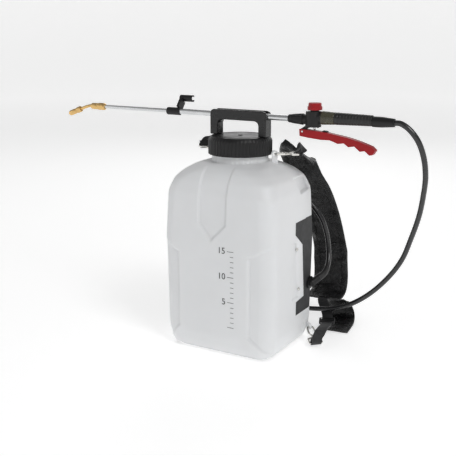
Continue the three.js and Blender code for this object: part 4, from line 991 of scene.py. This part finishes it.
class SPRAYER_OT_grip(bpy.types.Operator):
    """Makes the shut-off valve, its nuts, knob and grip, and the red trigger lever."""
    bl_idname = "sprayer.grip"
    bl_label = "Valve and grip"

    def execute(self, context):
        nut = [(6.4, 114), (8.4, 114), (8.7, 120), (9.4, 121.5), (11.2, 140), (11.5, 145),
               (11.0, 146.7), (6.4, 146.7)]
        put(along_lance("lance_nut_moulding", nut, 96, shape=fluted(16, 0.9, 122, 145)), "lance_nut",
            "lance_nut", "black")
        put_rounded("valve_moulding", "valve_body", "wand", 0.8, "black", 3, 32)
        put_rounded("grip_collar_moulding", "grip_collar", "wand", 0.5, "collar", 3, 40)
        ribs = np.linspace(219, 290, 12)[:-1]
        rib = ((0, 0), (0, 3.6), (0.7, 4.3), (0.7, 5.2), (0, 5.9))
        ribbed = [(12.4 - (x - 216) / 77 * 1.6 - depth, x + on) for x in ribs for depth, on in rib]
        sleeve = [(9.2, 216), (12.2, 216), *ribbed, (10.8, 292), (10.4, 293), (9.2, 293)]
        put(along_lance("grip_sleeve_moulding", sleeve, 64, GRIP_RISE, radius=0.3), "wand",
            "grip_sleeve", "rubber")
        put_rounded("hose_nut_moulding", "hose_nut", "hose_nut", 0.4, "black")
        put_rounded("knob_moulding", "flow_knob", "flow_knob", 0.7, "red", 3)
        put_rounded("lever_moulding", "lever", "lever", 1.4, "red", 4)
        put_rounded("latch_moulding", "lever_latch", "lever_latch", 0.5, "black")
        return {"FINISHED"}


# ------------------------------------------------------------------ printed scale
def lettered(name, body, size, place):
    """A number as a thin mesh on the front face: the text's own outline, turned upright."""
    curve = bpy.data.curves.new(name, "FONT")
    curve.body, curve.size, curve.extrude, curve.align_x = body, size, 0.08 * MM, "RIGHT"
    curve.align_y = "CENTER"
    text = linked(name, curve)
    mesh = evaluated_mesh(text)
    bpy.data.objects.remove(text)
    points = np.empty(len(mesh.vertices) * 3, np.float32)
    mesh.vertices.foreach_get("co", points)
    points = points.reshape(-1, 3)
    upright = np.stack([points[:, 0], -points[:, 2], points[:, 1]], 1) + np.array(place)
    mesh.vertices.foreach_set("co", upright.astype(np.float32).ravel())
    return linked(name, mesh)


LITRES = 15
SCALE_FOOT, SCALE_EDGE = 0.068, 0.046      # height of its lowest tick, and where all ticks end


class SPRAYER_OT_scale(bpy.types.Operator):
    """Prints a litre scale of ticks and numbers on the front of the tank."""
    bl_idname = "sprayer.scale"
    bl_label = "Litre scale"

    def execute(self, context):
        height = context.scene.sprayer_tank.scale_height
        rings = tank_rings(210)
        pieces = []
        for litre in range(LITRES + 1):
            z = SCALE_FOOT + height * litre / LITRES
            y = -np.interp(z, rings[:, 0], rings[:, 2]) - 0.1 * MM
            numbered = litre % 5 == 0
            left = SCALE_EDGE - (15 if numbered else 8) * MM
            pieces.append(block(f"tick_{litre}", (left, y - 0.05 * MM, z - 0.5 * MM),
                                (SCALE_EDGE, y + 0.35 * MM, z + 0.5 * MM)))
            if litre and numbered:
                pieces.append(lettered(f"number_{litre}", str(litre), 0.019, (0.027, y, z)))
        put(joined("litre_scale", *pieces), "tank", finish="print")
        return {"FINISHED"}


# ------------------------------------------------------------------ CAD parts that stay
CAD_FINISH = {
    "pump_tray": "black", "pump_head": "black", "pump_motor": "motor", "suction_elbow": "black",
    "control_board": "board", "wiring_loom": "rubber", "battery_terminal": "brass", "pump_rotor": "black",
    "valve_plunger": "steel", "cap_gasket": "rubber", "filler_strainer": "strainer",
    "vent_valve": "gloss black", "lever_pin": "steel",
}


class SPRAYER_OT_finishes(bpy.types.Operator):
    """Makes the finishes and puts them on the CAD parts that keep their shape."""
    bl_idname = "sprayer.finishes"
    bl_label = "Finishes"

    def execute(self, context):
        make_finishes(context.scene.sprayer_colours)
        for name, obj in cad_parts.items():
            finish = FINISH[CAD_FINISH.get(name, "black")]
            for slot in obj.material_slots:
                slot.material = finish
        return {"FINISHED"}


# ------------------------------------------------------------------ stage
CAMERA = {"place": (0.8548, -1.5150, 0.6878), "azimuth": 30.29, "elevation": 13.95, "lens": 65.1315789}
FLOOR_RADIUS, FLOOR_WALL = 9, 2.5
# Name, side, power, place and the height aimed at.
LIGHTS = [("key", 0.9, 26, (1.9, -1.0, 2.2), 0.25), ("fill", 2.0, 4.5, (-2.4, -1.4, 1.5), 0.25),
          ("rim", 1.4, 12, (-0.9, 2.2, 1.9), 0.3)]


def studio_light(name, size, power, place, height):
    """A square area light aimed at the middle of the tank, at a height."""
    data = bpy.data.lights.new(name, "AREA")
    data.size, data.energy = size, power
    lamp = linked(name, data)
    lamp.location = place
    lamp.rotation_euler = (Vector((0, 0, height)) - Vector(place)).to_track_quat("-Z", "Y").to_euler()


class SPRAYER_OT_stage(bpy.types.Operator):
    """Sets the camera, the pale floor that curves up behind, and the soft studio light."""
    bl_idname = "sprayer.stage"
    bl_label = "Stage"

    def execute(self, context):
        data = bpy.data.cameras.new("camera")
        data.lens, data.clip_end = CAMERA["lens"], 60
        camera = linked("camera", data)
        camera.location = CAMERA["place"]
        azimuth, elevation = math.radians(CAMERA["azimuth"]), math.radians(CAMERA["elevation"])
        camera.rotation_euler = (math.pi / 2 - elevation, 0, azimuth)
        context.scene.camera = camera
        t = np.linspace(0, np.pi / 2, 24)
        flat = np.array([(0.3, 0), (1, 0), (3, 0), (6, 0)])
        flat_radius = FLOOR_RADIUS - FLOOR_WALL
        bend = np.stack([flat_radius + FLOOR_WALL * np.sin(t), FLOOR_WALL * (1 - np.cos(t))], 1)
        profile = np.concatenate([flat, bend])
        turn = np.linspace(0, 2 * np.pi, 96, endpoint=False)
        points = np.stack([profile[:, :1] * np.cos(turn), profile[:, :1] * np.sin(turn),
                           np.repeat(profile[:, 1:], 96, 1) - 0.2 * MM], -1).reshape(-1, 3)
        faces = [grid_faces(len(profile), 96, wrap_columns=True), np.arange(96)[None]]
        floor = mesh_object("floor", points, faces)
        if floor.data.polygons[len(floor.data.polygons) - 1].normal.z < 0:
            floor.data.flip_normals()
        floor.data.materials.append(FINISH["floor"])
        smooth(floor, 80)
        for light in LIGHTS:
            studio_light(*light)
        world = bpy.data.worlds.new("studio")
        world.use_nodes = True
        sky = world.node_tree.nodes["Background"]
        set_inputs(sky, Color=(1, 1, 1, 1), Strength=0.3)
        context.scene.world = world
        context.scene.view_settings.view_transform = "Standard"
        return {"FINISHED"}


class SPRAYER_PT_panel(bpy.types.Panel):
    """Lists the sizes, the colours and the steps."""
    bl_idname = "SPRAYER_PT_panel"
    bl_label = "Backpack Sprayer"
    bl_space_type = "VIEW_3D"
    bl_region_type = "UI"
    bl_category = "Sprayer"

    def draw(self, context):
        scene = context.scene
        for group in (scene.sprayer_tank, scene.sprayer_cap, scene.sprayer_strap, scene.sprayer_colours):
            box = self.layout.box()
            for name in group.__annotations__:
                box.prop(group, name)
        for step in STEPS:
            self.layout.operator(step.bl_idname)


GROUPS = {"sprayer_tank": TankSizes, "sprayer_cap": CapSizes, "sprayer_strap": StrapSizes,
          "sprayer_colours": SprayerColours}
STEPS = [SPRAYER_OT_finishes, SPRAYER_OT_stage, SPRAYER_OT_hose, SPRAYER_OT_tank, SPRAYER_OT_housing,
         SPRAYER_OT_cap, SPRAYER_OT_straps, SPRAYER_OT_lance, SPRAYER_OT_grip, SPRAYER_OT_scale]


def register():
    """Registers the property groups, the steps and the panel."""
    for cls in (*GROUPS.values(), *STEPS, SPRAYER_PT_panel):
        bpy.utils.register_class(cls)
    for name, cls in GROUPS.items():
        setattr(bpy.types.Scene, name, bpy.props.PointerProperty(type=cls))


def unregister():
    """Takes them off again."""
    for name in GROUPS:
        delattr(bpy.types.Scene, name)
    for cls in (*reversed(STEPS), SPRAYER_PT_panel, *GROUPS.values()):
        bpy.utils.unregister_class(cls)


def main():
    """Registers the add-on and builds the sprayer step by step."""
    register()
    bpy.ops.sprayer.finishes()
    bpy.ops.sprayer.stage()
    bpy.ops.sprayer.hose()
    bpy.ops.sprayer.tank()
    bpy.ops.sprayer.housing()
    bpy.ops.sprayer.cap()
    bpy.ops.sprayer.straps()
    bpy.ops.sprayer.lance()
    bpy.ops.sprayer.grip()
    bpy.ops.sprayer.scale()


if __name__ == "__main__":
    main()
